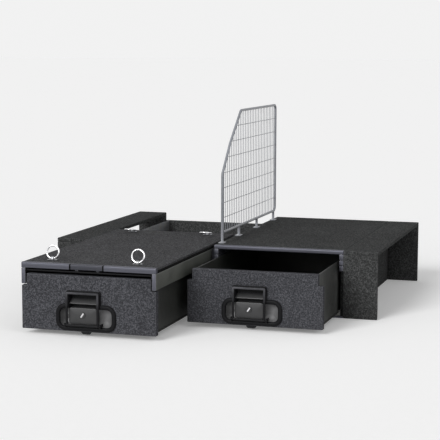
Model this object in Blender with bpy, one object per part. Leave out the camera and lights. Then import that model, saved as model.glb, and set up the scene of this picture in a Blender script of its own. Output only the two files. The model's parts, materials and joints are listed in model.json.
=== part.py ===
"""Twin drawer storage system for the load bay of an estate car or wagon.

Two drawer units stand side by side. The left one carries a roller floor on its
top, the right one a fixed deck. Side wings fill the bay to its walls, and a mesh
divider stands on the right deck along the seam between the units.

Metres, +Z up, +X to the right of someone facing the drawers, +Y into the bay.
Heights start at the bay's floor. Each unit's pieces are laid out from the unit's
own centre line, with its drawer shut, and then drawn out by a parent empty.
"""
import math

import bmesh
import bpy
from mathutils import Vector

# Clearances
GAP = 0.0003
RUNNING_GAP = 0.0005
OVERRUN = 0.003
SINK = 0.001

# Whole units
UNIT_WIDTH = 0.505
UNIT_LENGTH = 0.945
UNIT_HEIGHT = 0.2565
UNIT_SPACING = 0.018
WING_WIDTH = 0.130

# How far each moving tray is drawn out
FLOOR_OUT = 0.6175
LEFT_DRAWER_OUT = 0.6175
RIGHT_DRAWER_OUT = 0.333

# Carcass boards
BASE_THICKNESS = 0.003
SIDE_THICKNESS = 0.015
SIDE_CLEARANCE = 0.0008
BACK_THICKNESS = 0.012
DECK_THICKNESS = 0.015
WING_BOARD = 0.015

# Sill angle along the mouth of each unit
SILL_FRONT_WALL = 0.002
SILL_TOP_WALL = 0.0015
SILL_DEPTH = 0.025

# Nosing that caps the front edge of the deck and of the roller floor
NOSING_DEPTH = 0.016
NOSING_WALL = 0.0025
NOSING_CHAMFER = 0.004

# Grooved rail under each edge of the fixed deck
GROOVE_HEIGHT = 0.004
GROOVE_DEPTH = 0.004
GROOVE_COUNT = 2

# Roller floor
FLOOR_THICKNESS = 0.0202
FLOOR_LENGTH = 0.942
REBATE_WIDTH = 0.005
REBATE_HEIGHT = 0.0107
RAIL_LENGTH = 0.930
RAIL_WEB = 0.003
RAIL_FLANGE = 0.003
RAIL_END = 0.0025

# Wheels that carry the roller floor, and the plates that hold them
WHEEL_RADIUS = 0.025
WHEEL_WIDTH = 0.010
WHEEL_CLEARANCE = 0.00035
WHEEL_FRONT_Y = 0.056
WHEEL_REAR_Y = 0.200
WHEEL_SEGMENTS = 32
AXLE_RADIUS = 0.006
AXLE_SEGMENTS = 20
PLATE_THICKNESS = 0.0022
PLATE_HEIGHT = 0.0822
PLATE_CLEARANCE = 0.0013

# Release lever of the roller floor and the bar that it turns
LEVER_WIDTH = 0.1295
LEVER_SIDE_GAP = 0.0006
LEVER_SET_BACK = 0.0005
LEVER_REAR_GAP = 0.0005
LEVER_ARM_WIDTH = 0.010
LEVER_ARM_DEPTH = 0.0045
LEVER_ARM_SPREAD = 0.080
BAR_RADIUS = 0.004
BAR_Y = 0.0125
BAR_DROP = 0.0088
BAR_SEGMENTS = 16
HOOK_REACH = 0.0235
HOOK_HEIGHT = 0.007
NOTCH_LENGTH = 0.006
NOTCH_DEPTH = 0.005

# Lashing rings on the roller floor
RING_RADIUS = 0.023
RING_WIRE = 0.003
RING_SEGMENTS = 28
RING_SIDES = 8
RING_PLAY = 0.0013
RING_SET_IN = 0.091
RING_FRONT_Y = 0.0655
RING_REAR_Y = 0.875
RING_FRONT_LEAN = math.radians(12)
RING_REAR_LEAN = math.radians(78)
SADDLE_WIDTH = 0.011
SADDLE_DEPTH = 0.015
SADDLE_WALL = 0.0025
ANCHOR_WIDTH = 0.040
ANCHOR_DEPTH = 0.024
ANCHOR_THICKNESS = 0.002

# Drawer box
FACE_THICKNESS = 0.026
LEVER_OFFSET = 0.0055
LATCH_OFFSET = 0.0155
FACE_BOTTOM = 0.018
FACE_CLEARANCE = 0.0198
EAR_CLEARANCE = 0.004
EAR_WIDTH = 0.019
BOX_LENGTH = 0.860
BOX_SHEET = 0.002
BOX_BOTTOM = 0.0185
BOX_BELOW_FACE = 0.003
BOX_SIDE_CLEARANCE = 0.003
BOX_WALL_SET_IN = 0.0053
BOX_BACK_THICKNESS = 0.010
BOX_BACK_SET_IN = 0.006

# Runner channel at each side of a drawer
RUNNER_WIDTH = 0.016
RUNNER_WALL = 0.0018
RUNNER_LIP = 0.0018
RUNNER_PLAY = 0.0006

# Handle moulding in a drawer's face
DISH_OFFSET = 0.0075
DISH_WIDTH = 0.226
DISH_HEIGHT = 0.096
DISH_CORNER = 0.043
DISH_BOTTOM = 0.021
DISH_RIM = 0.008
DISH_FLANGE = 0.008
DISH_WALL = 0.0025
DISH_DEPTH = 0.018
CORNER_STEPS = 7
NECK_WIDTH = 0.128
NECK_TOP = 0.164
NECK_RIM = 0.007
NECK_CORNER = 0.004
NECK_POCKET_BOTTOM = 0.100
RAMP_BOTTOM = 0.117
RAMP_TOP = 0.135
RAMP_LIP = 0.003
RAMP_RISE = 0.004
LOCK_PLATE_WIDTH = 0.106
LOCK_PLATE_BOTTOM = 0.046
LOCK_PLATE_TOP = 0.105
LOCK_PLATE_RISE = 0.012

# Pull bail on the handle moulding
BAIL_WIDTH = 0.124
BAIL_BAR = 0.008
BAIL_THICKNESS = 0.007
BAIL_BOTTOM = 0.039
BAIL_TOP = 0.161
BAIL_FRONT = 0.020
BAIL_PIN_RADIUS = 0.002
BAIL_PIN_LENGTH = 0.004
BAIL_PIN_SEGMENTS = 12
LUG_WIDTH = 0.006
LUG_HEIGHT = 0.012

# Key lock
LOCK_Z = 0.080
LOCK_RADIUS = 0.0105
LOCK_FRONT = 0.015
LOCK_INNER = 0.010
LOCK_SEGMENTS = 24
KEY_BAR_WIDTH = 0.004
KEY_BAR_LENGTH = 0.014
KEY_BAR_RISE = 0.003
KEY_LEAN = math.radians(35)

# Spring tongue that holds a drawer shut
TONGUE_WIDTH = 0.038
TONGUE_THICKNESS = 0.004
TONGUE_FRONT = 0.0193
TONGUE_LENGTH = 0.070
TONGUE_LIFT = 0.012
TONGUE_TIP_GAP = 0.0007
TONGUE_TOP_GAP = 0.001

# Mesh divider, as heights above the deck and places along the bay
DIVIDER_X = 0.022
ROD_RADIUS = 0.005
ROD_BEND = 0.020
ROD_BEND_STEPS = 3
ROD_BEVEL_STEPS = 2
ROD_TILT = math.pi / 8
DIVIDER_FRONT_Y = 0.060
DIVIDER_REAR_Y = 0.852
DIVIDER_STAND = 0.040
DIVIDER_KNEE = 0.2675
DIVIDER_SHOULDER_Y = 0.163
DIVIDER_SHOULDER = 0.3805
DIVIDER_TOP_Y = 0.312
DIVIDER_HEIGHT = 0.5035
FOOT_WIDTH = 0.024
FOOT_LENGTH = 0.036
FOOT_THICKNESS = 0.003
FOOT_Y = (DIVIDER_FRONT_Y, 0.290, 0.555, 0.825)
NET_WIRE = 0.0025
NET_COLUMNS = 32
NET_ROWS = 8

# Plates that join the two units across their seam
JOINER_LENGTH = 0.038
JOINER_FRONT_Y = 0.0023
JOINER_FRONT_HEIGHT = 0.135
JOINER_FRONT_DROP = 0.0013
JOINER_REAR_END = 0.020
JOINER_REAR_BOTTOM = 0.010

# Derived places shared by several pieces
HALF = UNIT_WIDTH / 2
SIDE_INNER = HALF - SIDE_THICKNESS
CARCASS_FRONT = FACE_THICKNESS + GAP
CARCASS_REAR = UNIT_LENGTH - BACK_THICKNESS - GAP
BASE_TOP = BASE_THICKNESS
STANDING = BASE_TOP + GAP
SILL_TOP = STANDING + SILL_TOP_WALL
DECK_BOTTOM = UNIT_HEIGHT - DECK_THICKNESS
BOARD_FRONT = NOSING_DEPTH + GAP
FLOOR_BOTTOM = UNIT_HEIGHT - FLOOR_THICKNESS
RAIL_TOP = FLOOR_BOTTOM - GAP
RAIL_HOLLOW_TOP = RAIL_TOP - RAIL_FLANGE
RAIL_HOLLOW_BOTTOM = RAIL_HOLLOW_TOP - 2 * (WHEEL_RADIUS + WHEEL_CLEARANCE)
RAIL_BOTTOM = RAIL_HOLLOW_BOTTOM - RAIL_FLANGE
SIDE_TOP = RAIL_BOTTOM - SIDE_CLEARANCE
FACE_TOP = FLOOR_BOTTOM - FACE_CLEARANCE
EAR_TOP = SIDE_TOP - EAR_CLEARANCE
BOX_TOP = FACE_TOP - BOX_BELOW_FACE
BAR_Z = FLOOR_BOTTOM - BAR_DROP
PLATE_TOP = BAR_Z - BAR_RADIUS - PLATE_CLEARANCE
PLATE_BOTTOM = PLATE_TOP - PLATE_HEIGHT
JOINER_FRONT_TOP = FLOOR_BOTTOM - JOINER_FRONT_DROP
JOINER_FRONT_BOTTOM = JOINER_FRONT_TOP - JOINER_FRONT_HEIGHT
DIVIDER_BOTTOM = UNIT_HEIGHT + DIVIDER_STAND
DIVIDER_KNEE_Z = UNIT_HEIGHT + DIVIDER_KNEE
DIVIDER_SHOULDER_Z = UNIT_HEIGHT + DIVIDER_SHOULDER
DIVIDER_TOP = UNIT_HEIGHT + DIVIDER_HEIGHT
RAIL_INNER = SIDE_INNER + RUNNING_GAP
WHEEL_Z = (RAIL_HOLLOW_TOP + RAIL_HOLLOW_BOTTOM) / 2
PLATE_OUTER = SIDE_INNER - GAP
PLATE_INNER = PLATE_OUTER - PLATE_THICKNESS
WHEEL_INNER = SIDE_INNER + RUNNING_GAP
WHEEL_OUTER = WHEEL_INNER + WHEEL_WIDTH
RUNNER_OUTER = SIDE_INNER - GAP
BOX_LIP_HALF = SIDE_INNER - BOX_SIDE_CLEARANCE
LEVER_X = -LEVER_OFFSET
LATCH_X = -LATCH_OFFSET
DISH_X = -DISH_OFFSET
TONGUE_REAR = TONGUE_FRONT + TONGUE_THICKNESS
TONGUE_BOTTOM = SILL_TOP + TONGUE_TIP_GAP
UNIT_CENTRE = (UNIT_WIDTH + UNIT_SPACING) / 2
WING_INNER = UNIT_CENTRE + HALF + RUNNING_GAP
BAIL_PIVOT_Y = BAIL_THICKNESS / 2 - BAIL_FRONT
BAIL_PIVOT_Z = BAIL_BOTTOM + BAIL_BAR / 2

# The part's origin is under the middle of everything, with the trays drawn out
FRONT_MOST = -LEFT_DRAWER_OUT - BAIL_FRONT
ORIGIN_Y = -(FRONT_MOST + UNIT_LENGTH) / 2

SMOOTH_ANGLE = math.radians(35)

CARPET = ((0.100, 0.102, 0.108), 0.95, 0.0)
DECK_CARPET = ((0.050, 0.052, 0.052), 0.95, 0.0)
ALUMINIUM = ((0.42, 0.41, 0.45), 0.42, 1.0)
RAIL_METAL = ((0.075, 0.080, 0.070), 0.50, 0.6)
ZINC = ((0.45, 0.46, 0.47), 0.45, 1.0)
CHROME = ((0.80, 0.80, 0.82), 0.12, 1.0)
BLACK_PLASTIC = ((0.018, 0.018, 0.019), 0.45, 0.0)
NYLON = ((0.62, 0.62, 0.60), 0.50, 0.0)
PAINTED_STEEL = ((0.035, 0.036, 0.034), 0.60, 0.0)
WIRE_METAL = ((0.35, 0.36, 0.37), 0.40, 0.8)


def clear_scene():
    """Empty the scene, so that it holds only this part."""
    for old in list(bpy.data.objects):
        bpy.data.objects.remove(old, do_unlink=True)


def make_material(name, look):
    """Return the piece's own Principled material."""
    colour, roughness, metallic = look
    material = bpy.data.materials.new(name + "_material")
    material.use_nodes = True
    shader = material.node_tree.nodes["Principled BSDF"]
    shader.inputs["Base Color"].default_value = (*colour, 1.0)
    shader.inputs["Roughness"].default_value = roughness
    shader.inputs["Metallic"].default_value = metallic
    return material


def add_object(name, bm, place, parent, look=None):
    """Turn a bmesh into an object; without a look it is a hidden cutter."""
    bmesh.ops.recalc_face_normals(bm, faces=bm.faces)
    mesh = bpy.data.meshes.new(name)
    bm.to_mesh(mesh)
    bm.free()
    piece = bpy.data.objects.new(name, mesh)
    bpy.context.collection.objects.link(piece)
    piece.location = place
    piece.parent = parent
    if look is None:
        piece.hide_render = True
        piece.display_type = 'WIRE'
    else:
        mesh.materials.append(make_material(name, look))
    return piece


def add_empty(name, place, parent=None):
    """Add an empty that carries a group of pieces."""
    empty = bpy.data.objects.new(name, None)
    bpy.context.collection.objects.link(empty)
    empty.location = place
    empty.parent = parent
    return empty


def box(name, low, high, parent, look=None, origin=None):
    """Add a block between two corners, with its origin at its centre or as given."""
    low = Vector(low)
    high = Vector(high)
    centre = (low + high) / 2
    place = centre if origin is None else Vector(origin)
    bm = bmesh.new()
    bmesh.ops.create_cube(bm, size=1)
    bmesh.ops.scale(bm, vec=high - low, verts=bm.verts)
    bmesh.ops.translate(bm, vec=centre - place, verts=bm.verts)
    return add_object(name, bm, place, parent, look)


def prism(name, outline, axis, start, end, parent, look=None, origin=(0, 0, 0)):
    """Extrude an outline of two coordinates along X, Y or Z, from start to end."""
    order = {'X': (2, 0, 1), 'Y': (0, 2, 1), 'Z': (0, 1, 2)}[axis]
    bm = bmesh.new()
    verts = []
    for first, second in outline:
        values = (first, second, start)
        point = Vector([values[k] for k in order]) - Vector(origin)
        verts.append(bm.verts.new(point))
    face = bm.faces.new(verts)
    grown = bmesh.ops.extrude_face_region(bm, geom=[face])
    moved = [item for item in grown['geom'] if isinstance(item, bmesh.types.BMVert)]
    step = [0, 0, 0]
    step['XYZ'.index(axis)] = end - start
    bmesh.ops.translate(bm, vec=step, verts=moved)
    return add_object(name, bm, origin, parent, look)


def rod(name, centre, axis, radius, length, segments, parent, look=None, origin=None):
    """Add a cylinder along X, Y or Z."""
    place = Vector(centre) if origin is None else Vector(origin)
    bm = bmesh.new()
    bmesh.ops.create_cone(bm, cap_ends=True, segments=segments, radius1=radius,
                          radius2=radius, depth=length)
    up = Vector((0, 0, 1))
    direction = Vector([1 if letter == axis else 0 for letter in 'XYZ'])
    turn = up.rotation_difference(direction).to_matrix()
    bmesh.ops.rotate(bm, matrix=turn, verts=bm.verts)
    bmesh.ops.translate(bm, vec=Vector(centre) - place, verts=bm.verts)
    return add_object(name, bm, place, parent, look)


def combine(piece, tool, how):
    """Cut a tool from a piece, join it to the piece or keep what they share."""
    modifier = piece.modifiers.new(how.title(), 'BOOLEAN')
    modifier.operation = how
    modifier.object = tool
    modifier.solver = 'EXACT'


def shade_round(piece):
    """Shade a round piece smooth, with its true edges kept sharp."""
    piece.data.shade_smooth()
    piece.data.set_sharp_from_angle(angle=SMOOTH_ANGLE)


def rounded_outline(left, right, bottom, top, radius, steps):
    """Return the points of a rectangle with rounded corners."""
    centres = ((right - radius, top - radius, 0), (left + radius, top - radius, 1),
               (left + radius, bottom + radius, 2), (right - radius, bottom + radius, 3))
    points = []
    for cx, cz, quarter in centres:
        for k in range(steps + 1):
            angle = (quarter + k / steps) * math.pi / 2
            points.append((cx + radius * math.cos(angle), cz + radius * math.sin(angle)))
    return points


def round_corners(points, radius, steps):
    """Replace each corner of a closed path by a short bend."""
    bent = []
    for k, corner in enumerate(points):
        corner = Vector(corner)
        before = (Vector(points[k - 1]) - corner).normalized()
        after = (Vector(points[(k + 1) % len(points)]) - corner).normalized()
        half = before.angle(after) / 2
        reach = radius / math.tan(half)
        centre = corner + (before + after).normalized() * radius / math.sin(half)
        first = corner + before * reach - centre
        last = corner + after * reach - centre
        sweep = first.angle(last)
        for step in range(steps + 1):
            share = step / steps
            blend = (first * math.sin((1 - share) * sweep)
                     + last * math.sin(share * sweep)) / math.sin(sweep)
            bent.append(tuple(centre + blend))
    return bent


def inset(points, distance):
    """Move every side of a convex closed outline inwards by one distance."""
    middle = sum((Vector(point) for point in points), Vector((0, 0))) / len(points)
    lines = []
    for k, point in enumerate(points):
        start = Vector(point)
        along = (Vector(points[(k + 1) % len(points)]) - start).normalized()
        inward = Vector((-along.y, along.x))
        if inward.dot(middle - start) < 0:
            inward = -inward
        lines.append((start + inward * distance, along))
    moved = []
    for k, (start, along) in enumerate(lines):
        other, direction = lines[k - 1]
        cross = direction.x * along.y - direction.y * along.x
        offset = start - other
        travel = (offset.x * along.y - offset.y * along.x) / cross
        moved.append(tuple(other + direction * travel))
    return moved


def both_sides(low, high, side):
    """Order two distances from the centre line for the left or right side."""
    return tuple(sorted((side * low, side * high)))


def build_base(prefix, unit):
    """Base sheet under a unit, with the slot where the drawer's tongue drops."""
    low = (-HALF, SILL_FRONT_WALL + GAP, 0)
    high = (HALF, UNIT_LENGTH, BASE_TOP)
    piece = box(prefix + "base", low, high, unit, PAINTED_STEEL)
    combine(piece, keeper_cutter(prefix + "base_slot", unit), 'DIFFERENCE')


def keeper_cutter(name, unit):
    """Slot for the tongue, through whatever lies under it when the drawer is shut."""
    half = TONGUE_WIDTH / 2 + RUNNING_GAP
    low = (LATCH_X - half, TONGUE_FRONT - RUNNING_GAP, -OVERRUN)
    high = (LATCH_X + half, TONGUE_REAR + RUNNING_GAP, SILL_TOP + OVERRUN)
    return box(name, low, high, unit)


def build_sill(prefix, unit):
    """Aluminium angle over the front edge of the base sheet."""
    outline = ((0, 0), (SILL_FRONT_WALL, 0), (SILL_FRONT_WALL, STANDING),
               (SILL_DEPTH, STANDING), (SILL_DEPTH, SILL_TOP), (0, SILL_TOP))
    piece = prism(prefix + "sill", outline, 'X', -HALF, HALF, unit, ALUMINIUM)
    combine(piece, keeper_cutter(prefix + "sill_slot", unit), 'DIFFERENCE')


def build_side(prefix, name, side, unit):
    """Carpeted side board that stands on the base sheet."""
    left, right = both_sides(SIDE_INNER, HALF, side)
    low = (left, CARCASS_FRONT, STANDING)
    high = (right, CARCASS_REAR, SIDE_TOP)
    box(prefix + "side_" + name, low, high, unit, DECK_CARPET)


def build_back(prefix, top, unit):
    """Back panel, behind the side boards."""
    low = (-HALF, UNIT_LENGTH - BACK_THICKNESS, STANDING)
    high = (HALF, UNIT_LENGTH, top)
    box(prefix + "back", low, high, unit, DECK_CARPET)


def build_runner(prefix, name, side, unit):
    """Channel on the base sheet; its lip holds the drawer's edge down."""
    glide = BOX_BOTTOM - GAP
    lip = BOX_BOTTOM + BOX_SHEET + RUNNER_PLAY
    inner = RUNNER_OUTER - RUNNER_WIDTH
    wall = RUNNER_OUTER - RUNNER_WALL
    lip_edge = BOX_LIP_HALF - BOX_WALL_SET_IN + RUNNING_GAP
    outline = [(inner, STANDING), (RUNNER_OUTER, STANDING), (RUNNER_OUTER, lip + RUNNER_LIP),
               (lip_edge, lip + RUNNER_LIP), (lip_edge, lip), (wall, lip), (wall, glide),
               (inner, glide)]
    outline = [(side * x, z) for x, z in outline]
    prism(prefix + "runner_" + name, outline, 'Y', CARCASS_FRONT, CARCASS_REAR, unit, NYLON)


def build_deck_rail(name, side, unit):
    """Grooved rail on the right unit's side board, under the edge of the deck."""
    bottom = SIDE_TOP + GAP
    top = DECK_BOTTOM - GAP
    pitch = (top - bottom) / (GROOVE_COUNT + 1)
    outer = [(HALF, bottom)]
    inner = [(SIDE_INNER, bottom)]
    for k in range(1, GROOVE_COUNT + 1):
        low = bottom + k * pitch - GROOVE_HEIGHT / 2
        high = low + GROOVE_HEIGHT
        deep_outer = HALF - GROOVE_DEPTH
        deep_inner = SIDE_INNER + GROOVE_DEPTH
        outer += [(HALF, low), (deep_outer, low), (deep_outer, high), (HALF, high)]
        inner += [(SIDE_INNER, low), (deep_inner, low), (deep_inner, high), (SIDE_INNER, high)]
    outer.append((HALF, top))
    inner.append((SIDE_INNER, top))
    outline = [(side * x, z) for x, z in outer + inner[::-1]]
    prism("right_rail_" + name, outline, 'Y', 0, CARCASS_REAR, unit, ALUMINIUM)


def nosing_outline(bottom):
    """Cross-section of a nosing, as places along the bay and heights."""
    top = UNIT_HEIGHT
    return ((0, bottom), (NOSING_DEPTH, bottom), (NOSING_DEPTH, top),
            (NOSING_CHAMFER, top), (0, top - NOSING_CHAMFER))


def build_deck(unit):
    """Fixed carpeted deck of the right unit, with its front nosing."""
    low = (-HALF, BOARD_FRONT, DECK_BOTTOM)
    high = (HALF, UNIT_LENGTH, UNIT_HEIGHT)
    box("right_deck", low, high, unit, DECK_CARPET)
    prism("right_nosing", nosing_outline(DECK_BOTTOM), 'X', -HALF, HALF, unit, ALUMINIUM)


def build_wheel_plate(name, side, unit):
    """Steel plate on the inner face of a left side board, with its wheels' axles."""
    left, right = both_sides(PLATE_INNER, PLATE_OUTER, side)
    low = (left, CARCASS_FRONT, PLATE_BOTTOM)
    high = (right, CARCASS_REAR, PLATE_TOP)
    piece = box("left_wheel_plate_" + name, low, high, unit, ZINC)
    length = WHEEL_OUTER - PLATE_OUTER + SINK
    centre_x = side * (PLATE_OUTER - SINK + length / 2)
    for number, y in enumerate((WHEEL_FRONT_Y, WHEEL_REAR_Y)):
        tool = rod("axle_" + name + str(number), (centre_x, y, WHEEL_Z), 'X', AXLE_RADIUS,
                   length, AXLE_SEGMENTS, unit)
        combine(piece, tool, 'UNION')
    start = CARCASS_FRONT + NOTCH_LENGTH
    low = (left - OVERRUN, start, PLATE_TOP - NOTCH_DEPTH)
    high = (right + OVERRUN, start + NOTCH_LENGTH, PLATE_TOP + OVERRUN)
    combine(piece, box("catch_notch_" + name, low, high, unit), 'DIFFERENCE')
    shade_round(piece)


def build_wheel(name, side, y, unit):
    """Wheel that turns on a plate's axle inside the floor's rail."""
    centre = (side * (WHEEL_INNER + WHEEL_WIDTH / 2), y, WHEEL_Z)
    piece = rod("floor_wheel_" + name, centre, 'X', WHEEL_RADIUS, WHEEL_WIDTH,
                WHEEL_SEGMENTS, unit, NYLON)
    tool = rod("wheel_bore_" + name, centre, 'X', AXLE_RADIUS + GAP,
               WHEEL_WIDTH + 2 * OVERRUN, AXLE_SEGMENTS, unit)
    combine(piece, tool, 'DIFFERENCE')
    shade_round(piece)


def build_floor_rail(name, side, tray):
    """Channel rail under an edge of the roller floor, open towards its wheels."""
    left, right = both_sides(RAIL_INNER, HALF, side)
    low = (left, 0, RAIL_BOTTOM)
    high = (right, RAIL_LENGTH, RAIL_TOP)
    piece = box("floor_rail_" + name, low, high, tray, RAIL_METAL)
    left, right = both_sides(RAIL_INNER - OVERRUN, HALF - RAIL_WEB, side)
    low = (left, RAIL_END, RAIL_HOLLOW_BOTTOM)
    high = (right, RAIL_LENGTH + OVERRUN, RAIL_HOLLOW_TOP)
    combine(piece, box("rail_hollow_" + name, low, high, tray), 'DIFFERENCE')


def build_floor_board(tray):
    """Carpeted board of the roller floor, rebated over its rails."""
    step = FLOOR_BOTTOM + REBATE_HEIGHT
    narrow = HALF - REBATE_WIDTH
    right = [(narrow, FLOOR_BOTTOM), (narrow, step), (HALF, step), (HALF, UNIT_HEIGHT)]
    left = [(-x, z) for x, z in right[::-1]]
    prism("floor_board", right + left, 'Y', BOARD_FRONT, FLOOR_LENGTH, tray, DECK_CARPET)


def build_floor_nosing(tray):
    """Hollow nosing of the roller floor, opened in the middle for the lever."""
    piece = prism("floor_nosing", nosing_outline(FLOOR_BOTTOM), 'X', -HALF, HALF, tray,
                  ALUMINIUM)
    low = (-HALF - OVERRUN, NOSING_WALL, FLOOR_BOTTOM + NOSING_WALL)
    high = (HALF + OVERRUN, NOSING_DEPTH - NOSING_WALL, UNIT_HEIGHT - NOSING_CHAMFER)
    combine(piece, box("nosing_hollow", low, high, tray), 'DIFFERENCE')
    half = LEVER_WIDTH / 2 + LEVER_SIDE_GAP
    low = (LEVER_X - half, -OVERRUN, FLOOR_BOTTOM - OVERRUN)
    high = (LEVER_X + half, NOSING_DEPTH - NOSING_WALL, UNIT_HEIGHT + OVERRUN)
    combine(piece, box("nosing_mouth", low, high, tray), 'DIFFERENCE')


def build_lever(tray):
    """Release lever in the nosing's mouth, on two arms that stand on the bar."""
    rear = NOSING_DEPTH - NOSING_WALL - LEVER_REAR_GAP
    bottom = FLOOR_BOTTOM + LEVER_SET_BACK
    top = UNIT_HEIGHT - LEVER_SET_BACK
    outline = ((LEVER_SET_BACK, bottom), (rear, bottom), (rear, top),
               (LEVER_SET_BACK + NOSING_CHAMFER, top), (LEVER_SET_BACK, top - NOSING_CHAMFER))
    pivot = (0, BAR_Y, BAR_Z)
    half = LEVER_WIDTH / 2
    piece = prism("floor_lever", outline, 'X', LEVER_X - half, LEVER_X + half, tray,
                  ALUMINIUM, pivot)
    for side in (-1, 1):
        centre = LEVER_X + side * LEVER_ARM_SPREAD / 2
        low = (centre - LEVER_ARM_WIDTH / 2, rear - LEVER_ARM_DEPTH, BAR_Z + BAR_RADIUS + GAP)
        high = (centre + LEVER_ARM_WIDTH / 2, rear, bottom + SINK)
        arm = box("lever_arm_" + str(side + 1), low, high, tray)
        combine(piece, arm, 'UNION')


def build_latch_bar(tray):
    """Bar across the floor, turned by the lever, with a hook over each wheel plate."""
    pivot = (0, BAR_Y, BAR_Z)
    length = 2 * (HALF - RAIL_WEB - GAP)
    piece = rod("floor_latch_bar", pivot, 'X', BAR_RADIUS, length, BAR_SEGMENTS, tray, ZINC)
    bottom = PLATE_TOP + RUNNING_GAP
    for side in (-1, 1):
        left, right = both_sides(PLATE_INNER, PLATE_OUTER, side)
        low = (left, BAR_Y, bottom)
        high = (right, BAR_Y + HOOK_REACH, bottom + HOOK_HEIGHT)
        combine(piece, box("hook_" + str(side + 1), low, high, tray), 'UNION')
    shade_round(piece)


def ring_height():
    """Height of the middle of a lashing ring's wire, where its saddle holds it."""
    return UNIT_HEIGHT + GAP + ANCHOR_THICKNESS + RING_WIRE + RING_PLAY


def build_anchor(name, x, y, tray):
    """Plate and saddle that hold one lashing ring on the roller floor."""
    low = (x - ANCHOR_WIDTH / 2, y - ANCHOR_DEPTH / 2, UNIT_HEIGHT + GAP)
    high = (x + ANCHOR_WIDTH / 2, y + ANCHOR_DEPTH / 2, UNIT_HEIGHT + GAP + ANCHOR_THICKNESS)
    piece = box("anchor_" + name, low, high, tray, ZINC)
    bore = RING_WIRE + RING_PLAY
    top = ring_height() + bore + SADDLE_WALL
    low = (x - SADDLE_WIDTH / 2, y - SADDLE_DEPTH / 2, high[2] - SINK)
    high = (x + SADDLE_WIDTH / 2, y + SADDLE_DEPTH / 2, top)
    combine(piece, box("saddle_" + name, low, high, tray), 'UNION')
    hole = rod("saddle_bore_" + name, (x, y, ring_height()), 'X', bore,
               SADDLE_WIDTH + 2 * OVERRUN, BAR_SEGMENTS, tray)
    combine(piece, hole, 'DIFFERENCE')
    shade_round(piece)


def build_ring(name, x, y, lean, tray):
    """Lashing ring, hinged where its wire passes through the saddle."""
    bm = bmesh.new()
    section = bmesh.ops.create_circle(bm, segments=RING_SIDES, radius=RING_WIRE)
    bmesh.ops.translate(bm, vec=(RING_RADIUS, 0, 0), verts=section['verts'])
    edges = list(bm.edges)
    bmesh.ops.rotate(bm, matrix=Vector((0, 0, 1)).rotation_difference(Vector((0, 1, 0)))
                     .to_matrix(), cent=(RING_RADIUS, 0, 0), verts=section['verts'])
    bmesh.ops.spin(bm, geom=list(bm.verts) + edges, cent=(0, 0, 0), axis=(0, 0, 1),
                   angle=2 * math.pi, steps=RING_SEGMENTS, use_merge=True)
    bmesh.ops.remove_doubles(bm, verts=bm.verts, dist=RING_WIRE / RING_SIDES)
    upright = Vector((0, 0, 1)).rotation_difference(Vector((0, 1, 0))).to_matrix()
    bmesh.ops.rotate(bm, matrix=upright, verts=bm.verts)
    bmesh.ops.translate(bm, vec=(0, 0, RING_RADIUS), verts=bm.verts)
    piece = add_object("ring_" + name, bm, (x, y, ring_height()), tray, CHROME)
    piece.rotation_euler = (-lean, 0, 0)
    shade_round(piece)


def build_box(prefix, drawer):
    """Drawer's folded sheet: its bottom, and a side wall set in from each edge."""
    outer = BOX_LIP_HALF - BOX_WALL_SET_IN
    inner = outer - BOX_SHEET
    inside = BOX_BOTTOM + BOX_SHEET
    right = [(BOX_LIP_HALF, BOX_BOTTOM), (BOX_LIP_HALF, inside), (outer, inside),
             (outer, BOX_TOP), (inner, BOX_TOP), (inner, inside)]
    left = [(-x, z) for x, z in right[::-1]]
    prism(prefix + "drawer_box", right + left, 'Y', CARCASS_FRONT,
          CARCASS_FRONT + BOX_LENGTH, drawer, PAINTED_STEEL)
    half = inner - GAP
    rear = CARCASS_FRONT + BOX_LENGTH - BOX_BACK_SET_IN
    low = (-half, rear - BOX_BACK_THICKNESS, inside + GAP)
    box(prefix + "drawer_back", low, (half, rear, BOX_TOP), drawer, PAINTED_STEEL)


def dish_shape(name, grow, front, rear, drawer, look=None):
    """Prism with the dish's rounded outline, grown or shrunk by a margin."""
    half = DISH_WIDTH / 2 + grow
    outline = rounded_outline(DISH_X - half, DISH_X + half, DISH_BOTTOM - grow,
                              DISH_BOTTOM + DISH_HEIGHT + grow, DISH_CORNER + grow,
                              CORNER_STEPS)
    return prism(name, outline, 'Y', front, rear, drawer, look)


def neck_shape(name, grow, front, rear, drawer):
    """Prism with the outline of the moulding's upper part, over the dish."""
    half = NECK_WIDTH / 2 + grow
    radius = NECK_CORNER if grow < 0 else NECK_CORNER + grow
    outline = rounded_outline(LATCH_X - half, LATCH_X + half, LOCK_PLATE_BOTTOM,
                              NECK_TOP + grow, radius, CORNER_STEPS - 3)
    return prism(name, outline, 'Y', front, rear, drawer)


def build_face(prefix, drawer):
    """Carpeted front board with an ear at each side, below the rails' ends."""
    centre = HALF - EAR_WIDTH
    right = [(HALF, FACE_BOTTOM), (HALF, EAR_TOP), (centre, EAR_TOP), (centre, FACE_TOP)]
    left = [(-x, z) for x, z in right[::-1]]
    piece = prism(prefix + "face", right + left, 'Y', 0, FACE_THICKNESS, drawer, CARPET)
    depth = DISH_DEPTH + GAP
    dish = dish_shape(prefix + "face_dish", GAP - DISH_RIM, -OVERRUN, depth, drawer)
    combine(piece, dish, 'DIFFERENCE')
    neck = neck_shape(prefix + "face_neck", GAP - NECK_RIM, -OVERRUN, depth, drawer)
    combine(piece, neck, 'DIFFERENCE')
    half = TONGUE_WIDTH / 2 + GAP
    top = TONGUE_BOTTOM + TONGUE_LENGTH + TONGUE_LIFT + TONGUE_TOP_GAP
    low = (LATCH_X - half, TONGUE_FRONT - GAP, FACE_BOTTOM - OVERRUN)
    high = (LATCH_X + half, TONGUE_REAR + GAP, top)
    slot = box(prefix + "tongue_slot", low, high, drawer)
    combine(piece, slot, 'DIFFERENCE')


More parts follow.
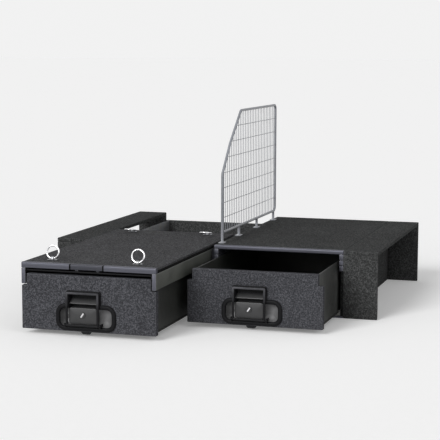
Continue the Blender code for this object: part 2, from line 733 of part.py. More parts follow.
def build_dish(prefix, drawer):
    """Black moulding let into the face: dish, lock plate, hand pocket and lugs."""
    front = -DISH_FLANGE
    floor = DISH_DEPTH - DISH_WALL
    piece = dish_shape(prefix + "dish", 0, front, -GAP, drawer, BLACK_PLASTIC)
    name = prefix + "dish_"
    shapes = [
        (neck_shape(name + "neck", 0, front, -GAP, drawer), 'UNION'),
        (dish_shape(name + "pan", -DISH_RIM, front + SINK, DISH_DEPTH, drawer), 'UNION'),
        (neck_shape(name + "neck_pan", -NECK_RIM, front + SINK, DISH_DEPTH, drawer), 'UNION'),
        (dish_shape(name + "hollow", -DISH_RIM - DISH_WALL, front - OVERRUN, floor, drawer),
         'DIFFERENCE'),
    ]
    half = LOCK_PLATE_WIDTH / 2
    neck_top = NECK_TOP - NECK_RIM - DISH_WALL
    left = LATCH_X - half
    right = LATCH_X + half
    pocket = box(name + "pocket", (left, front - OVERRUN, NECK_POCKET_BOTTOM),
                 (right, floor, neck_top), drawer)
    plate = box(name + "plate", (left, -LOCK_PLATE_RISE, LOCK_PLATE_BOTTOM),
                (right, floor + SINK, LOCK_PLATE_TOP), drawer)
    slope = ((-RAMP_RISE, RAMP_BOTTOM), (floor + SINK, RAMP_BOTTOM),
             (floor + SINK, RAMP_TOP), (floor - SINK, RAMP_TOP),
             (-RAMP_RISE, RAMP_BOTTOM + RAMP_LIP))
    ramp = prism(name + "ramp", slope, 'X', left - SINK, right + SINK, drawer)
    shapes += [(pocket, 'DIFFERENCE'), (plate, 'UNION'), (ramp, 'UNION')]
    shapes += lug_tools(name, drawer)
    centre = (LATCH_X, (LOCK_INNER + GAP - LOCK_FRONT) / 2, LOCK_Z)
    hole = rod(name + "lock_hole", centre, 'Y', LOCK_RADIUS + GAP,
               LOCK_FRONT + LOCK_INNER + GAP, LOCK_SEGMENTS, drawer)
    shapes.append((hole, 'DIFFERENCE'))
    for tool, how in shapes:
        combine(piece, tool, how)
    shade_round(piece)


def lug_tools(name, drawer):
    """Two lugs beside the foot of the bail, and the bores for its pins."""
    tools = []
    for side in (-1, 1):
        inner = BAIL_WIDTH / 2 + RUNNING_GAP
        left, right = both_sides(inner, inner + LUG_WIDTH, side)
        low = (LATCH_X + left, -BAIL_FRONT, BAIL_PIVOT_Z - LUG_HEIGHT / 2)
        high = (LATCH_X + right, DISH_DEPTH - DISH_WALL + SINK,
                BAIL_PIVOT_Z + LUG_HEIGHT / 2)
        lug = box(name + "lug_" + str(side + 1), low, high, drawer)
        tools.append((lug, 'UNION'))
        reach = BAIL_PIN_LENGTH + RUNNING_GAP
        centre_x = LATCH_X + side * (BAIL_WIDTH / 2 + reach / 2)
        bore = rod(name + "bore_" + str(side + 1), (centre_x, BAIL_PIVOT_Y, BAIL_PIVOT_Z),
                   'X', BAIL_PIN_RADIUS + GAP, reach, BAIL_PIN_SEGMENTS, drawer)
        tools.append((bore, 'DIFFERENCE'))
    return tools


def build_bail(prefix, drawer):
    """Square pull bail, pinned at its foot between the moulding's lugs."""
    pivot = (LATCH_X, BAIL_PIVOT_Y, BAIL_PIVOT_Z)
    half = BAIL_WIDTH / 2
    left = LATCH_X - half
    right = LATCH_X + half
    front = -BAIL_FRONT
    rear = front + BAIL_THICKNESS
    outline = rounded_outline(left, right, BAIL_BOTTOM, BAIL_TOP, BAIL_BAR / 2,
                              CORNER_STEPS - 3)
    piece = prism(prefix + "bail", outline, 'Y', front, rear, drawer, BLACK_PLASTIC, pivot)
    low = (left + BAIL_BAR, front - OVERRUN, BAIL_BOTTOM + BAIL_BAR)
    high = (right - BAIL_BAR, rear + OVERRUN, BAIL_TOP - BAIL_BAR)
    combine(piece, box(prefix + "bail_window", low, high, drawer), 'DIFFERENCE')
    length = BAIL_PIN_LENGTH + SINK
    for side in (-1, 1):
        centre_x = LATCH_X + side * (half - SINK + length / 2)
        centre = (centre_x, BAIL_PIVOT_Y, BAIL_PIVOT_Z)
        pin = rod(prefix + "bail_pin_" + str(side + 1), centre, 'X', BAIL_PIN_RADIUS,
                  length, BAIL_PIN_SEGMENTS, drawer)
        combine(piece, pin, 'UNION')
    shade_round(piece)


def build_lock(prefix, drawer):
    """Key lock that turns in the middle of the lock plate."""
    length = LOCK_FRONT + LOCK_INNER
    centre = (LATCH_X, (LOCK_INNER - LOCK_FRONT) / 2, LOCK_Z)
    piece = rod(prefix + "lock", centre, 'Y', LOCK_RADIUS, length, LOCK_SEGMENTS, drawer,
                CHROME)
    outline = []
    for side, end in ((-1, -1), (1, -1), (1, 1), (-1, 1)):
        across = side * KEY_BAR_WIDTH / 2
        along = end * KEY_BAR_LENGTH / 2
        x = LATCH_X + across * math.cos(KEY_LEAN) + along * math.sin(KEY_LEAN)
        z = LOCK_Z - across * math.sin(KEY_LEAN) + along * math.cos(KEY_LEAN)
        outline.append((x, z))
    bar = prism(prefix + "key_bar", outline, 'Y', -LOCK_FRONT - KEY_BAR_RISE,
                SINK - LOCK_FRONT, drawer)
    combine(piece, bar, 'UNION')
    shade_round(piece)


def build_tongue(prefix, drawer):
    """Flat spring tongue that slides up and down inside the face."""
    half = TONGUE_WIDTH / 2
    low = (LATCH_X - half, TONGUE_FRONT, TONGUE_BOTTOM)
    high = (LATCH_X + half, TONGUE_REAR, TONGUE_BOTTOM + TONGUE_LENGTH)
    box(prefix + "tongue", low, high, drawer, ZINC)


def build_drawer(prefix, drawer):
    """Everything that slides with one drawer."""
    build_box(prefix, drawer)
    build_face(prefix, drawer)
    build_dish(prefix, drawer)
    build_bail(prefix, drawer)
    build_lock(prefix, drawer)
    build_tongue(prefix, drawer)


def build_carcass(prefix, sides, back_top, unit):
    """The fixed boards, sill and drawer runners of one unit."""
    build_base(prefix, unit)
    build_sill(prefix, unit)
    build_back(prefix, back_top, unit)
    for name, side in sides:
        build_side(prefix, name, side, unit)
        build_runner(prefix, name, side, unit)


def build_roller_floor(sides, tray):
    """Everything that slides with the roller floor."""
    build_floor_board(tray)
    build_floor_nosing(tray)
    build_lever(tray)
    build_latch_bar(tray)
    for name, side in sides:
        build_floor_rail(name, side, tray)
        x = side * (HALF - RING_SET_IN)
        build_anchor("front_" + name, x, RING_FRONT_Y, tray)
        build_anchor("rear_" + name, x, RING_REAR_Y, tray)
        build_ring("front_" + name, x, RING_FRONT_Y, RING_FRONT_LEAN, tray)
        build_ring("rear_" + name, x, RING_REAR_Y, -RING_REAR_LEAN, tray)


def build_wing(name, side, root):
    """Top board with its rear leg, and the front panel, beside a unit."""
    left, right = both_sides(WING_INNER, WING_INNER + WING_WIDTH, side)
    under = UNIT_HEIGHT - WING_BOARD
    leg = UNIT_LENGTH - WING_BOARD
    outline = ((0, under), (leg, under), (leg, 0), (UNIT_LENGTH, 0),
               (UNIT_LENGTH, UNIT_HEIGHT), (0, UNIT_HEIGHT))
    prism("wing_" + name + "_top", outline, 'X', left, right, root, DECK_CARPET)
    box("wing_" + name + "_front", (left, 0, 0), (right, WING_BOARD, under - GAP), root,
        DECK_CARPET)


def build_joiners(root):
    """Plates between the facing side boards, which bolt the units together."""
    half = UNIT_SPACING / 2 - GAP
    front = CARCASS_FRONT + JOINER_FRONT_Y
    box("joiner_front", (-half, front, JOINER_FRONT_BOTTOM),
        (half, front + JOINER_LENGTH, JOINER_FRONT_TOP), root, ALUMINIUM)
    rear = UNIT_LENGTH - JOINER_REAR_END
    box("joiner_rear", (-half, rear - JOINER_LENGTH, JOINER_REAR_BOTTOM),
        (half, rear, SIDE_TOP), root, ALUMINIUM)


def divider_outline():
    """Centre line of the divider's edge rod, as places along the bay and heights."""
    return ((DIVIDER_FRONT_Y, DIVIDER_BOTTOM), (DIVIDER_FRONT_Y, DIVIDER_KNEE_Z),
            (DIVIDER_SHOULDER_Y, DIVIDER_SHOULDER_Z), (DIVIDER_TOP_Y, DIVIDER_TOP),
            (DIVIDER_REAR_Y, DIVIDER_TOP), (DIVIDER_REAR_Y, DIVIDER_BOTTOM))


def rod_path(name, points, root):
    """Sweep the round edge rod along a closed path and return its mesh object."""
    curve = bpy.data.curves.new(name + "_path", 'CURVE')
    curve.dimensions = '3D'
    curve.bevel_depth = ROD_RADIUS
    curve.bevel_resolution = ROD_BEVEL_STEPS
    spline = curve.splines.new('POLY')
    spline.points.add(len(points) - 1)
    for point, (y, z) in zip(spline.points, points):
        point.co = (0, y, z, 1)
        point.tilt = ROD_TILT
    spline.use_cyclic_u = True
    holder = bpy.data.objects.new(name + "_path", curve)
    bpy.context.collection.objects.link(holder)
    graph = bpy.context.evaluated_depsgraph_get()
    mesh = bpy.data.meshes.new_from_object(holder.evaluated_get(graph))
    bpy.data.objects.remove(holder, do_unlink=True)
    mesh.name = name
    mesh.materials.clear()
    mesh.materials.append(make_material(name, WIRE_METAL))
    piece = bpy.data.objects.new(name, mesh)
    bpy.context.collection.objects.link(piece)
    piece.location = (DIVIDER_X, 0, 0)
    piece.parent = root
    return piece


def build_divider_frame(root):
    """Bent edge rod of the divider, with the feet that stand on the deck."""
    path = round_corners(divider_outline(), ROD_BEND, ROD_BEND_STEPS)
    piece = rod_path("divider_frame", path, root)
    deck = UNIT_HEIGHT + GAP
    for number, y in enumerate(FOOT_Y):
        bend = ROD_BEND if y == DIVIDER_FRONT_Y else 0
        height = DIVIDER_BOTTOM + bend - deck - SINK
        centre = (DIVIDER_X, y, deck + SINK + height / 2)
        post = rod("post_" + str(number), centre, 'Z', ROD_RADIUS - SINK, height,
                   BAR_SEGMENTS, root)
        low = (DIVIDER_X - FOOT_WIDTH / 2, y - FOOT_LENGTH / 2, deck)
        high = (DIVIDER_X + FOOT_WIDTH / 2, y + FOOT_LENGTH / 2, deck + FOOT_THICKNESS)
        foot = box("foot_" + str(number), low, high, root)
        combine(foot, post, 'UNION')
        combine(piece, foot, 'UNION')
    shade_round(piece)


def wire_edges(start, end, gaps):
    """Both edges of each wire across a net with the given number of gaps."""
    edges = []
    for k in range(gaps + 1):
        middle = start + (end - start) * k / gaps
        edges += [middle - NET_WIRE / 2, middle + NET_WIRE / 2]
    return edges


def build_divider_net(root):
    """Welded net inside the edge rod, trimmed to the rod's bends and slope."""
    across = wire_edges(DIVIDER_FRONT_Y, DIVIDER_REAR_Y, NET_COLUMNS)
    upward = wire_edges(DIVIDER_BOTTOM, DIVIDER_TOP, NET_ROWS)
    bm = bmesh.new()
    corners = [[bm.verts.new((0, y, z)) for z in upward] for y in across]
    for i in range(len(across) - 1):
        for j in range(len(upward) - 1):
            if i % 2 and j % 2:
                continue
            bm.faces.new((corners[i][j], corners[i + 1][j], corners[i + 1][j + 1],
                          corners[i][j + 1]))
    grown = bmesh.ops.extrude_face_region(bm, geom=list(bm.faces))
    moved = [item for item in grown['geom'] if isinstance(item, bmesh.types.BMVert)]
    bmesh.ops.translate(bm, vec=(NET_WIRE, 0, 0), verts=moved)
    bmesh.ops.translate(bm, vec=(-NET_WIRE / 2, 0, 0), verts=bm.verts)
    piece = add_object("divider_net", bm, (DIVIDER_X, 0, 0), root, WIRE_METAL)
    bent = round_corners(divider_outline(), ROD_BEND, ROD_BEND_STEPS)
    edge = inset(bent, ROD_RADIUS + GAP)
    trim = prism("net_trim", edge, 'X', DIVIDER_X - NET_WIRE - OVERRUN,
                 DIVIDER_X + NET_WIRE + OVERRUN, root)
    combine(piece, trim, 'INTERSECT')


def main():
    """Build every piece of the storage system."""
    clear_scene()
    root = add_empty("bay", (0, ORIGIN_Y, 0))
    left_unit = add_empty("left_unit", (-UNIT_CENTRE, 0, 0), root)
    right_unit = add_empty("right_unit", (UNIT_CENTRE, 0, 0), root)
    left_sides = (("outer", -1), ("inner", 1))
    right_sides = (("inner", -1), ("outer", 1))
    build_carcass("left_", left_sides, PLATE_TOP, left_unit)
    build_carcass("right_", right_sides, DECK_BOTTOM - GAP, right_unit)
    build_deck(right_unit)
    for name, side in right_sides:
        build_deck_rail(name, side, right_unit)
    for name, side in left_sides:
        build_wheel_plate(name, side, left_unit)
        build_wheel("front_" + name, side, WHEEL_FRONT_Y, left_unit)
        build_wheel("rear_" + name, side, WHEEL_REAR_Y, left_unit)
    floor_tray = add_empty("roller_floor", (0, -FLOOR_OUT, 0), left_unit)
    build_roller_floor(left_sides, floor_tray)
    left_drawer = add_empty("left_drawer", (0, -LEFT_DRAWER_OUT, 0), left_unit)
    build_drawer("left_", left_drawer)
    right_drawer = add_empty("right_drawer", (0, -RIGHT_DRAWER_OUT, 0), right_unit)
    build_drawer("right_", right_drawer)
    build_wing("left", -1, root)
    build_wing("right", 1, root)
    build_joiners(root)
    build_divider_frame(root)
    build_divider_net(root)


main()
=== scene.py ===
"""Finished look of a twin drawer system for the load bay of an estate car or wagon.

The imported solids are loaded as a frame. Each operator then makes one piece, or one
group of like pieces, over them: carpeted boards, drawer faces, handle mouldings,
nosings, roller floor, lashing rings and the mesh divider. The last one makes the
stage. Metres, +Z up, drawers facing -Y.
"""
import json
import math

import bmesh
import bpy
from bpy.props import (FloatProperty, FloatVectorProperty, IntProperty, PointerProperty)
from mathutils import Matrix, Vector


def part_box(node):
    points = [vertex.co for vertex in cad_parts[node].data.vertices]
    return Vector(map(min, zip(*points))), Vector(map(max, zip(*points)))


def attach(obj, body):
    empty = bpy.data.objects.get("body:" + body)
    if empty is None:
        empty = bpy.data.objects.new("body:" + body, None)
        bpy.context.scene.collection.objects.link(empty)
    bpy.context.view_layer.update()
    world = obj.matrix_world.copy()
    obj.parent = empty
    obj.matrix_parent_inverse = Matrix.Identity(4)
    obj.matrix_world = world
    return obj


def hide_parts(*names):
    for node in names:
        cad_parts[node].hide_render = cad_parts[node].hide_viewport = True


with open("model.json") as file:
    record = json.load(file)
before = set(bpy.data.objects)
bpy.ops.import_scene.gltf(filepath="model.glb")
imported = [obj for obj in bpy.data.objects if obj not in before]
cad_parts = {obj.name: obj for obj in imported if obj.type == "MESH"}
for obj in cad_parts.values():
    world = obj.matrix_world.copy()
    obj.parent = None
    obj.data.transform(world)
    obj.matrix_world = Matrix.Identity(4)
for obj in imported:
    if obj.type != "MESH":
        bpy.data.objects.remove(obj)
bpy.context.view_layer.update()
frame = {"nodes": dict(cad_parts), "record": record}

bl_info = {
    "name": "Load bay drawer system",
    "version": (1, 0, 0),
    "blender": (4, 5, 0),
    "location": "View3D > Sidebar > Drawers",
    "description": "Twin drawers with a roller floor, side wings and a mesh divider",
    "category": "Add Mesh",
}

DRAWERS = ("left", "right")
SIDES = ("outer", "inner")
ENDS = ("front", "rear")
# Face attribute of worn edges; on the bowl it also marks the half that gets painted
# light
WEAR_AND_LIGHT_LAYER = "edge_wear"
FACING_LAYER = "facing"
FINISHES = {}
WHITE = (1.0, 1.0, 1.0, 1.0)
GREY = (0.5, 0.5, 0.5, 1.0)
PLAIN_GLOSS = 0.5    # the shader's own specular level

# Play round parts that are let into each other, and how far a cutter overshoots
FIT = 0.0003
CLEAR = 0.003

# Distances of the screws from the edges of what they hold, along it and up it
BACK_MARGIN = (0.020, 0.012)
SILL_MARGIN = 0.035
SILL_SHIFT = 0.002    # towards the mouth from the sill's middle
BOX_MARGIN = (0.008, 0.030)
WHEEL_PLATE_MARGIN = (0.030, 0.015)
ANCHOR_MARGIN = 0.0065
FOOT_MARGIN = 0.0065


def colour(name, description, value):
    """Return a colour property."""
    return FloatVectorProperty(name=name, description=description, subtype='COLOR',
                               size=3, min=0.0, max=1.0, default=value)


def length(name, description, value):
    """Return a length property in metres."""
    return FloatProperty(name=name, description=description, unit='LENGTH', precision=5,
                         min=0.0, default=value)


def angle(name, description, degrees):
    """Return an angle property."""
    return FloatProperty(name=name, description=description, subtype='ANGLE',
                         default=math.radians(degrees))


def number(name, description, value, low=0.0, high=10.0):
    """Return a property that is a plain number."""
    return FloatProperty(name=name, description=description, min=low, max=high,
                         default=value)


def whole(name, description, value, low=1):
    """Return a property that is a whole number."""
    return IntProperty(name=name, description=description, min=low, default=value)


class FinishSettings(bpy.types.PropertyGroup):
    """Colours of the carpets, metals and plastics."""
    face_carpet: colour("Face carpet", "Speckled carpet on the drawer faces",
                        (0.062, 0.063, 0.070))
    # The deck carpet is darker than the floor carpet, partly as a darker carpet and
    # partly as painted shade deeper in the bay
    deck_carpet: colour("Deck carpet", "Dark carpet on the deck, wings and sides",
                        (0.052, 0.053, 0.053))
    floor_carpet: colour("Floor carpet", "Carpet on the roller floor",
                         (0.072, 0.072, 0.075))
    anodised: colour("Anodised aluminium", "Nosings, lever, sills, end caps and rails",
                     (0.090, 0.092, 0.113))
    channel_paint: colour("Channel paint", "Painted channels under the roller floor",
                          (0.080, 0.084, 0.074))
    zinc: colour("Zinc plate", "Wheel plates, bearings, ring saddles and screws",
                 (0.46, 0.47, 0.49))
    black_zinc: colour("Black zinc", "Anchors' plates and latch tongues",
                       (0.022, 0.022, 0.024))
    chrome: colour("Chrome", "Lashing rings and key bars", (0.86, 0.86, 0.88))
    moulding: colour("Black moulding", "Handle mouldings and the floor's latch bar",
                     (0.008, 0.008, 0.009))
    bowl: colour("Bowl", "Satin bowl behind the bail", (0.044, 0.044, 0.045))
    plate: colour("Lock plate", "Satin lock plate, lock barrel and pocket ramp",
                  (0.030, 0.030, 0.031))
    bail: colour("Black bail", "Powder-coated pull bails", (0.010, 0.010, 0.011))
    nylon: colour("Nylon", "Wheels and drawer runners", (0.60, 0.60, 0.57))
    sheet: colour("Drawer sheet", "Coated sheet of the drawer boxes and base sheets",
                  (0.016, 0.017, 0.015))
    wire: colour("Coated wire", "Divider's rod, feet and net", (0.25, 0.26, 0.285))
    # Black of the lever's rubber caps, also used for the strips that paint the shadow
    # in the floor's rebates
    rubber: colour("Rubber", "Roller floor's side strips and the lever's caps",
                   (0.006, 0.006, 0.006))


class BoardSettings(bpy.types.PropertyGroup):
    """Shapes of the carpeted boards and drawer faces."""
    edge_radius: length("Edge radius", "Rounding of a carpeted board's edges", 0.0024)
    face_radius: length("Face edge radius", "Rounding of a drawer face's edges", 0.0032)
    ear_width: length("Ear width", "Lower strip at each end of a face", 0.019)
    ear_drop: length("Ear drop", "How far an ear stops below the face's top", 0.042)
    slot_half: length("Tongue slot half width", "Half of the tongue's slot", 0.0193)
    slot_start: length("Tongue slot start", "Slot's depth behind the face", 0.0190)
    slot_end: length("Tongue slot end", "Far side of the slot", 0.0236)
    slot_top: length("Tongue slot top", "Height of the slot's top", 0.0885)


class HandleSettings(bpy.types.PropertyGroup):
    """Shapes of the handle moulding, bail and key lock."""
    dish_half: length("Dish half width", "Half of the moulding's width", 0.113)
    dish_bottom: length("Dish bottom", "Height of the moulding's lower edge", 0.021)
    dish_top: length("Dish top", "Height of the dish's upper edge", 0.117)
    dish_corner: length("Dish corner", "Corner radius of the dish", 0.035)
    neck_half: length("Neck half width", "Half of the upper part's width", 0.064)
    neck_bottom: length("Neck bottom", "Where the upper part leaves the dish", 0.046)
    neck_top: length("Neck top", "Height of the moulding's upper edge", 0.164)
    neck_corner: length("Neck corner", "Corner radius of the upper part", 0.006)
    flange: length("Flange", "How far the rim stands proud of the face", 0.008)
    depth: length("Depth", "How deep the moulding is let into the face", 0.018)
    wall: length("Wall", "Thickness of the moulding's floor", 0.0025)
    dish_rim: length("Dish rim", "Width of the rim round the dish", 0.016)
    neck_rim: length("Neck rim", "Width of the rim round the upper part", 0.007)
    rim_round: length("Rim rounding", "Rounding of the rim's edges", 0.0062)
    small_round: length("Small rounding", "Rounding of the smaller edges", 0.0024)
    draft: length("Draft", "How far the dish's walls slope in", 0.0035)
    fillet: length("Fillet", "Fillet between the walls and the floor", 0.0035)
    pocket_half: length("Pocket half width", "Half of the pocket's width", 0.0530)
    pocket_bottom: length("Pocket bottom", "Height of the pocket's lower end", 0.0940)
    pocket_top: length("Pocket top", "Height of the pocket's upper lip", 0.1540)
    pocket_corner: length("Pocket corner", "Corner radius of the pocket", 0.006)
    bowl_start: length("Bowl start", "Depth of the bowl's lip behind the rim", 0.0015)
    bowl_reach: length("Bowl reach", "Width of the bowl's curved part", 0.030)
    bowl_sheet: length("Bowl sheet", "Thickness of the bowl", 0.0012)
    ramp_bottom: length("Ramp bottom", "Height of the pocket ramp's foot", 0.117)
    ramp_top: length("Ramp top", "Height of the pocket ramp's head", 0.136)
    ramp_front: length("Ramp front", "How far the ramp's foot stands proud", 0.004)
    plate_half: length("Plate half width", "Half of the lock plate's width", 0.053)
    plate_bottom: length("Plate bottom", "Height of the lock plate's lower edge", 0.046)
    plate_top: length("Plate top", "Height of the lock plate's upper edge", 0.105)
    plate_corner: length("Plate corner", "Corner radius of the lock plate", 0.010)
    plate_rise: length("Plate rise", "How far the lock plate stands proud", 0.012)
    plate_crown: length("Plate crown", "How far its middle bulges", 0.0022)
    lug_gap: length("Lug gap", "Room between the bail and a lug", 0.0005)
    lug_width: length("Lug width", "Thickness of a lug", 0.006)
    lug_radius: length("Lug radius", "Radius of a lug's nose", 0.006)
    bail_half: length("Bail half width", "Half of the bail's width", 0.062)
    bail_bottom: length("Bail bottom", "Height of the bail's foot", 0.039)
    bail_top: length("Bail top", "Height of the bail's top bar", 0.161)
    bail_bar: length("Bail bar", "Width of the bail's bar", 0.008)
    bail_front: length("Bail front", "How far the bail stands proud", 0.020)
    bail_thickness: length("Bail thickness", "Thickness of the bar", 0.007)
    bail_round: length("Bail rounding", "Rounding of the bar's edges", 0.0030)
    bail_corner: length("Bail corner", "Outer corner radius", 0.0065)
    pin_radius: length("Pin radius", "Radius of the bail's pins in their lugs", 0.0019)
    lock_height: length("Lock height", "Height of the lock's centre", 0.080)
    lock_radius: length("Lock radius", "Radius of the lock's barrel", 0.0105)
    lock_front: length("Lock front", "How far the barrel stands proud", 0.015)
    key_rise: length("Key rise", "How far the key bar stands on the barrel", 0.003)
    key_half: length("Key half length", "Half of the key bar's length", 0.0092)
    key_width: length("Key width", "Width of the key bar", 0.0060)
    key_lean: angle("Key lean", "How far the key bar leans to the right", 35)


class FloorSettings(bpy.types.PropertyGroup):
    """Shapes of the nosings, roller floor and lashing rings."""
    nosing_front: length("Nosing front", "Upper front rounding of a nosing", 0.0048)
    nosing_foot: length("Nosing foot", "Lower front rounding of a nosing", 0.0022)
    grip_depth: length("Grip depth", "Depth of the grip grooves on a nosing", 0.0006)
    grip_pitch: length("Grip pitch", "Distance between grip grooves", 0.0026)
    web: length("Rear web", "Nosing's rear wall behind the lever", 0.0025)
    cap_length: length("Lever cap", "Length of a rubber cap on the lever", 0.0055)
    end_cap: length("Rail end cap", "Thickness of a floor rail's end cap", 0.0016)
    rail_sheet: length("Rail sheet", "Thickness of a floor rail's folded sheet", 0.003)
    rail_bend: length("Rail bend", "Outer bend radius of a floor rail", 0.0022)
    ring_radius: length("Ring radius", "Radius to the middle of a ring's wire", 0.023)
    ring_wire: length("Ring wire", "Radius of a ring's wire", 0.003)
    ring_play: length("Ring play", "Room round the wire in its saddle", 0.0013)
    front_lean: angle("Front ring lean", "How far the front rings lean back", 12)
    rear_lean: angle("Rear ring lean", "How far the rear rings lean back", -78)
    saddle_half: length("Saddle half width", "Half of a saddle's width", 0.0055)
    saddle_wall: length("Saddle wall", "Thickness of a saddle's strap", 0.0025)
    plate_thickness: length("Anchor plate", "Thickness of an anchor's plate", 0.002)
    plate_corner: length("Anchor corner", "Corner radius of an anchor's plate", 0.004)


class DividerSettings(bpy.types.PropertyGroup):
    """Shapes of the mesh divider."""
    rod_radius: length("Rod radius", "Radius of the edge rod", 0.005)
    rod_bend: length("Rod bend", "Bend radius of the edge rod", 0.020)
    front: length("Front", "Front upright's distance from the mouth", 0.060)
    shoulder: length("Shoulder", "Shoulder's distance from the mouth", 0.163)
    top_start: length("Top start", "Where the top run starts", 0.312)
    rear: length("Rear", "Rear upright's distance from the mouth", 0.852)
    bottom: length("Bottom", "Height of the lower run", 0.2965)
    knee_height: length("Knee height", "Top of the front upright", 0.524)
    shoulder_height: length("Shoulder height", "Height of the shoulder", 0.637)
    top: length("Top", "Height of the top run", 0.7594)
    wire_radius: length("Wire radius", "Radius of a net wire", 0.00125)
    wire_sides: whole("Wire sides", "Faces round a net wire", 8, 3)
    columns: whole("Columns", "Gaps between the upright wires", 32)
    rows: whole("Rows", "Gaps between the level wires", 8)
    foot_half_width: length("Foot half width", "Half of a foot's width", 0.012)
    foot_half_length: length("Foot half length", "Half of a foot's length", 0.018)
    foot_thickness: length("Foot thickness", "Thickness of a foot's plate", 0.003)
    foot_second: length("Second foot", "Second foot's distance", 0.290)
    foot_third: length("Third foot", "Third foot's distance", 0.555)
    foot_fourth: length("Fourth foot", "Fourth foot's distance", 0.825)


class ScrewSettings(bpy.types.PropertyGroup):
    """Sizes of the screw heads."""
    head_radius: length("Head radius", "Radius of a screw's head", 0.0042)
    head_height: length("Head height", "Height of a screw's head", 0.0014)
    socket_share: number("Socket share", "Socket to head radius", 0.5, 0.1, 0.9)
    sunk_share: number("Sunk share", "Share of the head in the board", 0.25, 0.0, 0.9)


class StageSettings(bpy.types.PropertyGroup):
    """Camera, lamps and floor."""
    camera_place: FloatVectorProperty(name="Camera", description="Camera's place",
                                      subtype='XYZ', unit='LENGTH', size=3,
                                      default=(1.6112, -5.30435, 1.0227))
    yaw: angle("Yaw", "Camera's turn to the right from the depth axis", -17.053)
    pitch: angle("Pitch", "Camera's tilt below the horizon", 7.079)
    roll: angle("Roll", "Camera's roll", 0.166)
    lens: FloatProperty(name="Lens", description="Focal length on a 36 mm sensor",
                        subtype='DISTANCE_CAMERA', default=116.0, min=10.0)
    key_strength: number("Key", "Strength of the key lamp", 2.0)
    fill_strength: number("Fill", "Strength of the fill lamp", 0.5)
    ambient: number("Ambient", "Level of the surrounding light", 0.36)
    background: number("Background", "Level of the backdrop", 0.885, 0.0, 1.0)
    floor_level: number("Floor", "Floor's share of white", 0.72, 0.0, 1.0)


class DrawerSystemSettings(bpy.types.PropertyGroup):
    """Every setting of the drawer system."""
    finish: PointerProperty(type=FinishSettings)
    board: PointerProperty(type=BoardSettings)
    handle: PointerProperty(type=HandleSettings)
    floor: PointerProperty(type=FloorSettings)
    divider: PointerProperty(type=DividerSettings)
    screw: PointerProperty(type=ScrewSettings)
    stage: PointerProperty(type=StageSettings)


def settings():
    """Return the settings kept on the scene."""
    return bpy.context.scene.drawer_system


# Mesh tools

def prism(outline, axis, start, end):
    """Extrude an outline of two coordinates along X, Y or Z."""
    order = {'X': (2, 0, 1), 'Y': (0, 2, 1), 'Z': (0, 1, 2)}[axis]
    rings = []
    for along in (start, end):
        ring = []
        for first, second in outline:
            values = (first, second, along)
            ring.append([values[k] for k in order])
        rings.append(ring)
    return loft(rings)


def loft(rings, closed=False):
    """Skin rings that have the same number of points, capped unless closed."""
    bm = bmesh.new()
    loops = [[bm.verts.new(point) for point in ring] for ring in rings]
    count = len(loops[0])
    pairs = list(zip(loops, loops[1:]))
    if closed:
        pairs.append((loops[-1], loops[0]))
    for first, second in pairs:
        for k in range(count):
            after = (k + 1) % count
            bm.faces.new((first[k], first[after], second[after], second[k]))
    if not closed:
        bm.faces.new(loops[0][::-1])
        bm.faces.new(loops[-1])
    bmesh.ops.recalc_face_normals(bm, faces=bm.faces)
    return bm


def block(low, high):
    """Return a plain block between two corners, as stock to carve or round."""
    outline = ((low[0], low[1]), (high[0], low[1]), (high[0], high[1]),
               (low[0], high[1]))
    return prism(outline, 'Z', low[2], high[2])


def arc(centre, radius, start, end, steps):
    """Return points of an arc, its angles in degrees."""
    points = []
    for k in range(steps + 1):
        turn = math.radians(start + (end - start) * k / steps)
        points.append((centre[0] + radius * math.cos(turn),
                       centre[1] + radius * math.sin(turn)))
    return points


def rounded_rectangle(left, right, bottom, top, radius, steps=8):
    """Return the outline of a rectangle with rounded corners."""
    points = arc((right - radius, top - radius), radius, 0, 90, steps)
    points += arc((left + radius, top - radius), radius, 90, 180, steps)
    points += arc((left + radius, bottom + radius), radius, 180, 270, steps)
    points += arc((right - radius, bottom + radius), radius, 270, 360, steps)
    return points


def circle(centre, first, second, radius, sides):
    """Return points round a centre, in the plane of two unit vectors."""
    points = []
    for k in range(sides):
        turn = 2 * math.pi * k / sides
        spoke = first * math.cos(turn) + second * math.sin(turn)
        points.append(centre + spoke * radius)
    return points


def turned(profile, axis, centre, sides, closed=False):
    """Turn a profile of radii and heights about an axis through a centre."""
    along = Vector([1 if letter == axis else 0 for letter in 'XYZ'])
    across = along.orthogonal().normalized()
    other = along.cross(across)
    rings = [circle(Vector(centre) + along * height, across, other, radius, sides)
             for radius, height in profile]
    return loft(rings, closed)


def mesh_of(name, bm):
    """Turn a bmesh into a mesh."""
    mesh = bpy.data.meshes.new(name)
    bm.to_mesh(mesh)
    bm.free()
    return mesh


def join(first, *others):
    """Add other bmeshes to the first as separate shells."""
    for other in others:
        mesh = mesh_of("joined shell", other)
        first.from_mesh(mesh)
        bpy.data.meshes.remove(mesh)
    return first


def solid_copy(node):
    """Return a CAD node's mesh with its triangles merged into flat faces."""
    same_place = 0.00001
    flat = math.radians(1)
    bm = bmesh.new()
    bm.from_mesh(frame["nodes"][node].data)
    bmesh.ops.remove_doubles(bm, verts=bm.verts, dist=same_place)
    bmesh.ops.dissolve_limit(bm, angle_limit=flat, verts=bm.verts, edges=bm.edges)
    return bm


def round_edges(bm, radius, segments=2, least=30):
    """Round every edge sharper than an angle, and mark the new faces as worn edges."""
    layer = bm.faces.layers.float.get(WEAR_AND_LIGHT_LAYER)
    if layer is None:
        layer = bm.faces.layers.float.new(WEAR_AND_LIGHT_LAYER)
    limit = math.radians(least)
    edges = [edge for edge in bm.edges
             if len(edge.link_faces) == 2 and edge.calc_face_angle() > limit]
    made = bmesh.ops.bevel(bm, geom=edges, offset=radius, segments=segments,
                           profile=0.5, affect='EDGES', clamp_overlap=True)
    for face in made['faces']:
        face[layer] = 1.0
    return bm


def put_in_scene(name, data):
    """Link a new object that holds a mesh, a lamp or a camera to the scene."""
    holder = bpy.data.objects.new(name, data)
    bpy.context.scene.collection.objects.link(holder)
    return holder


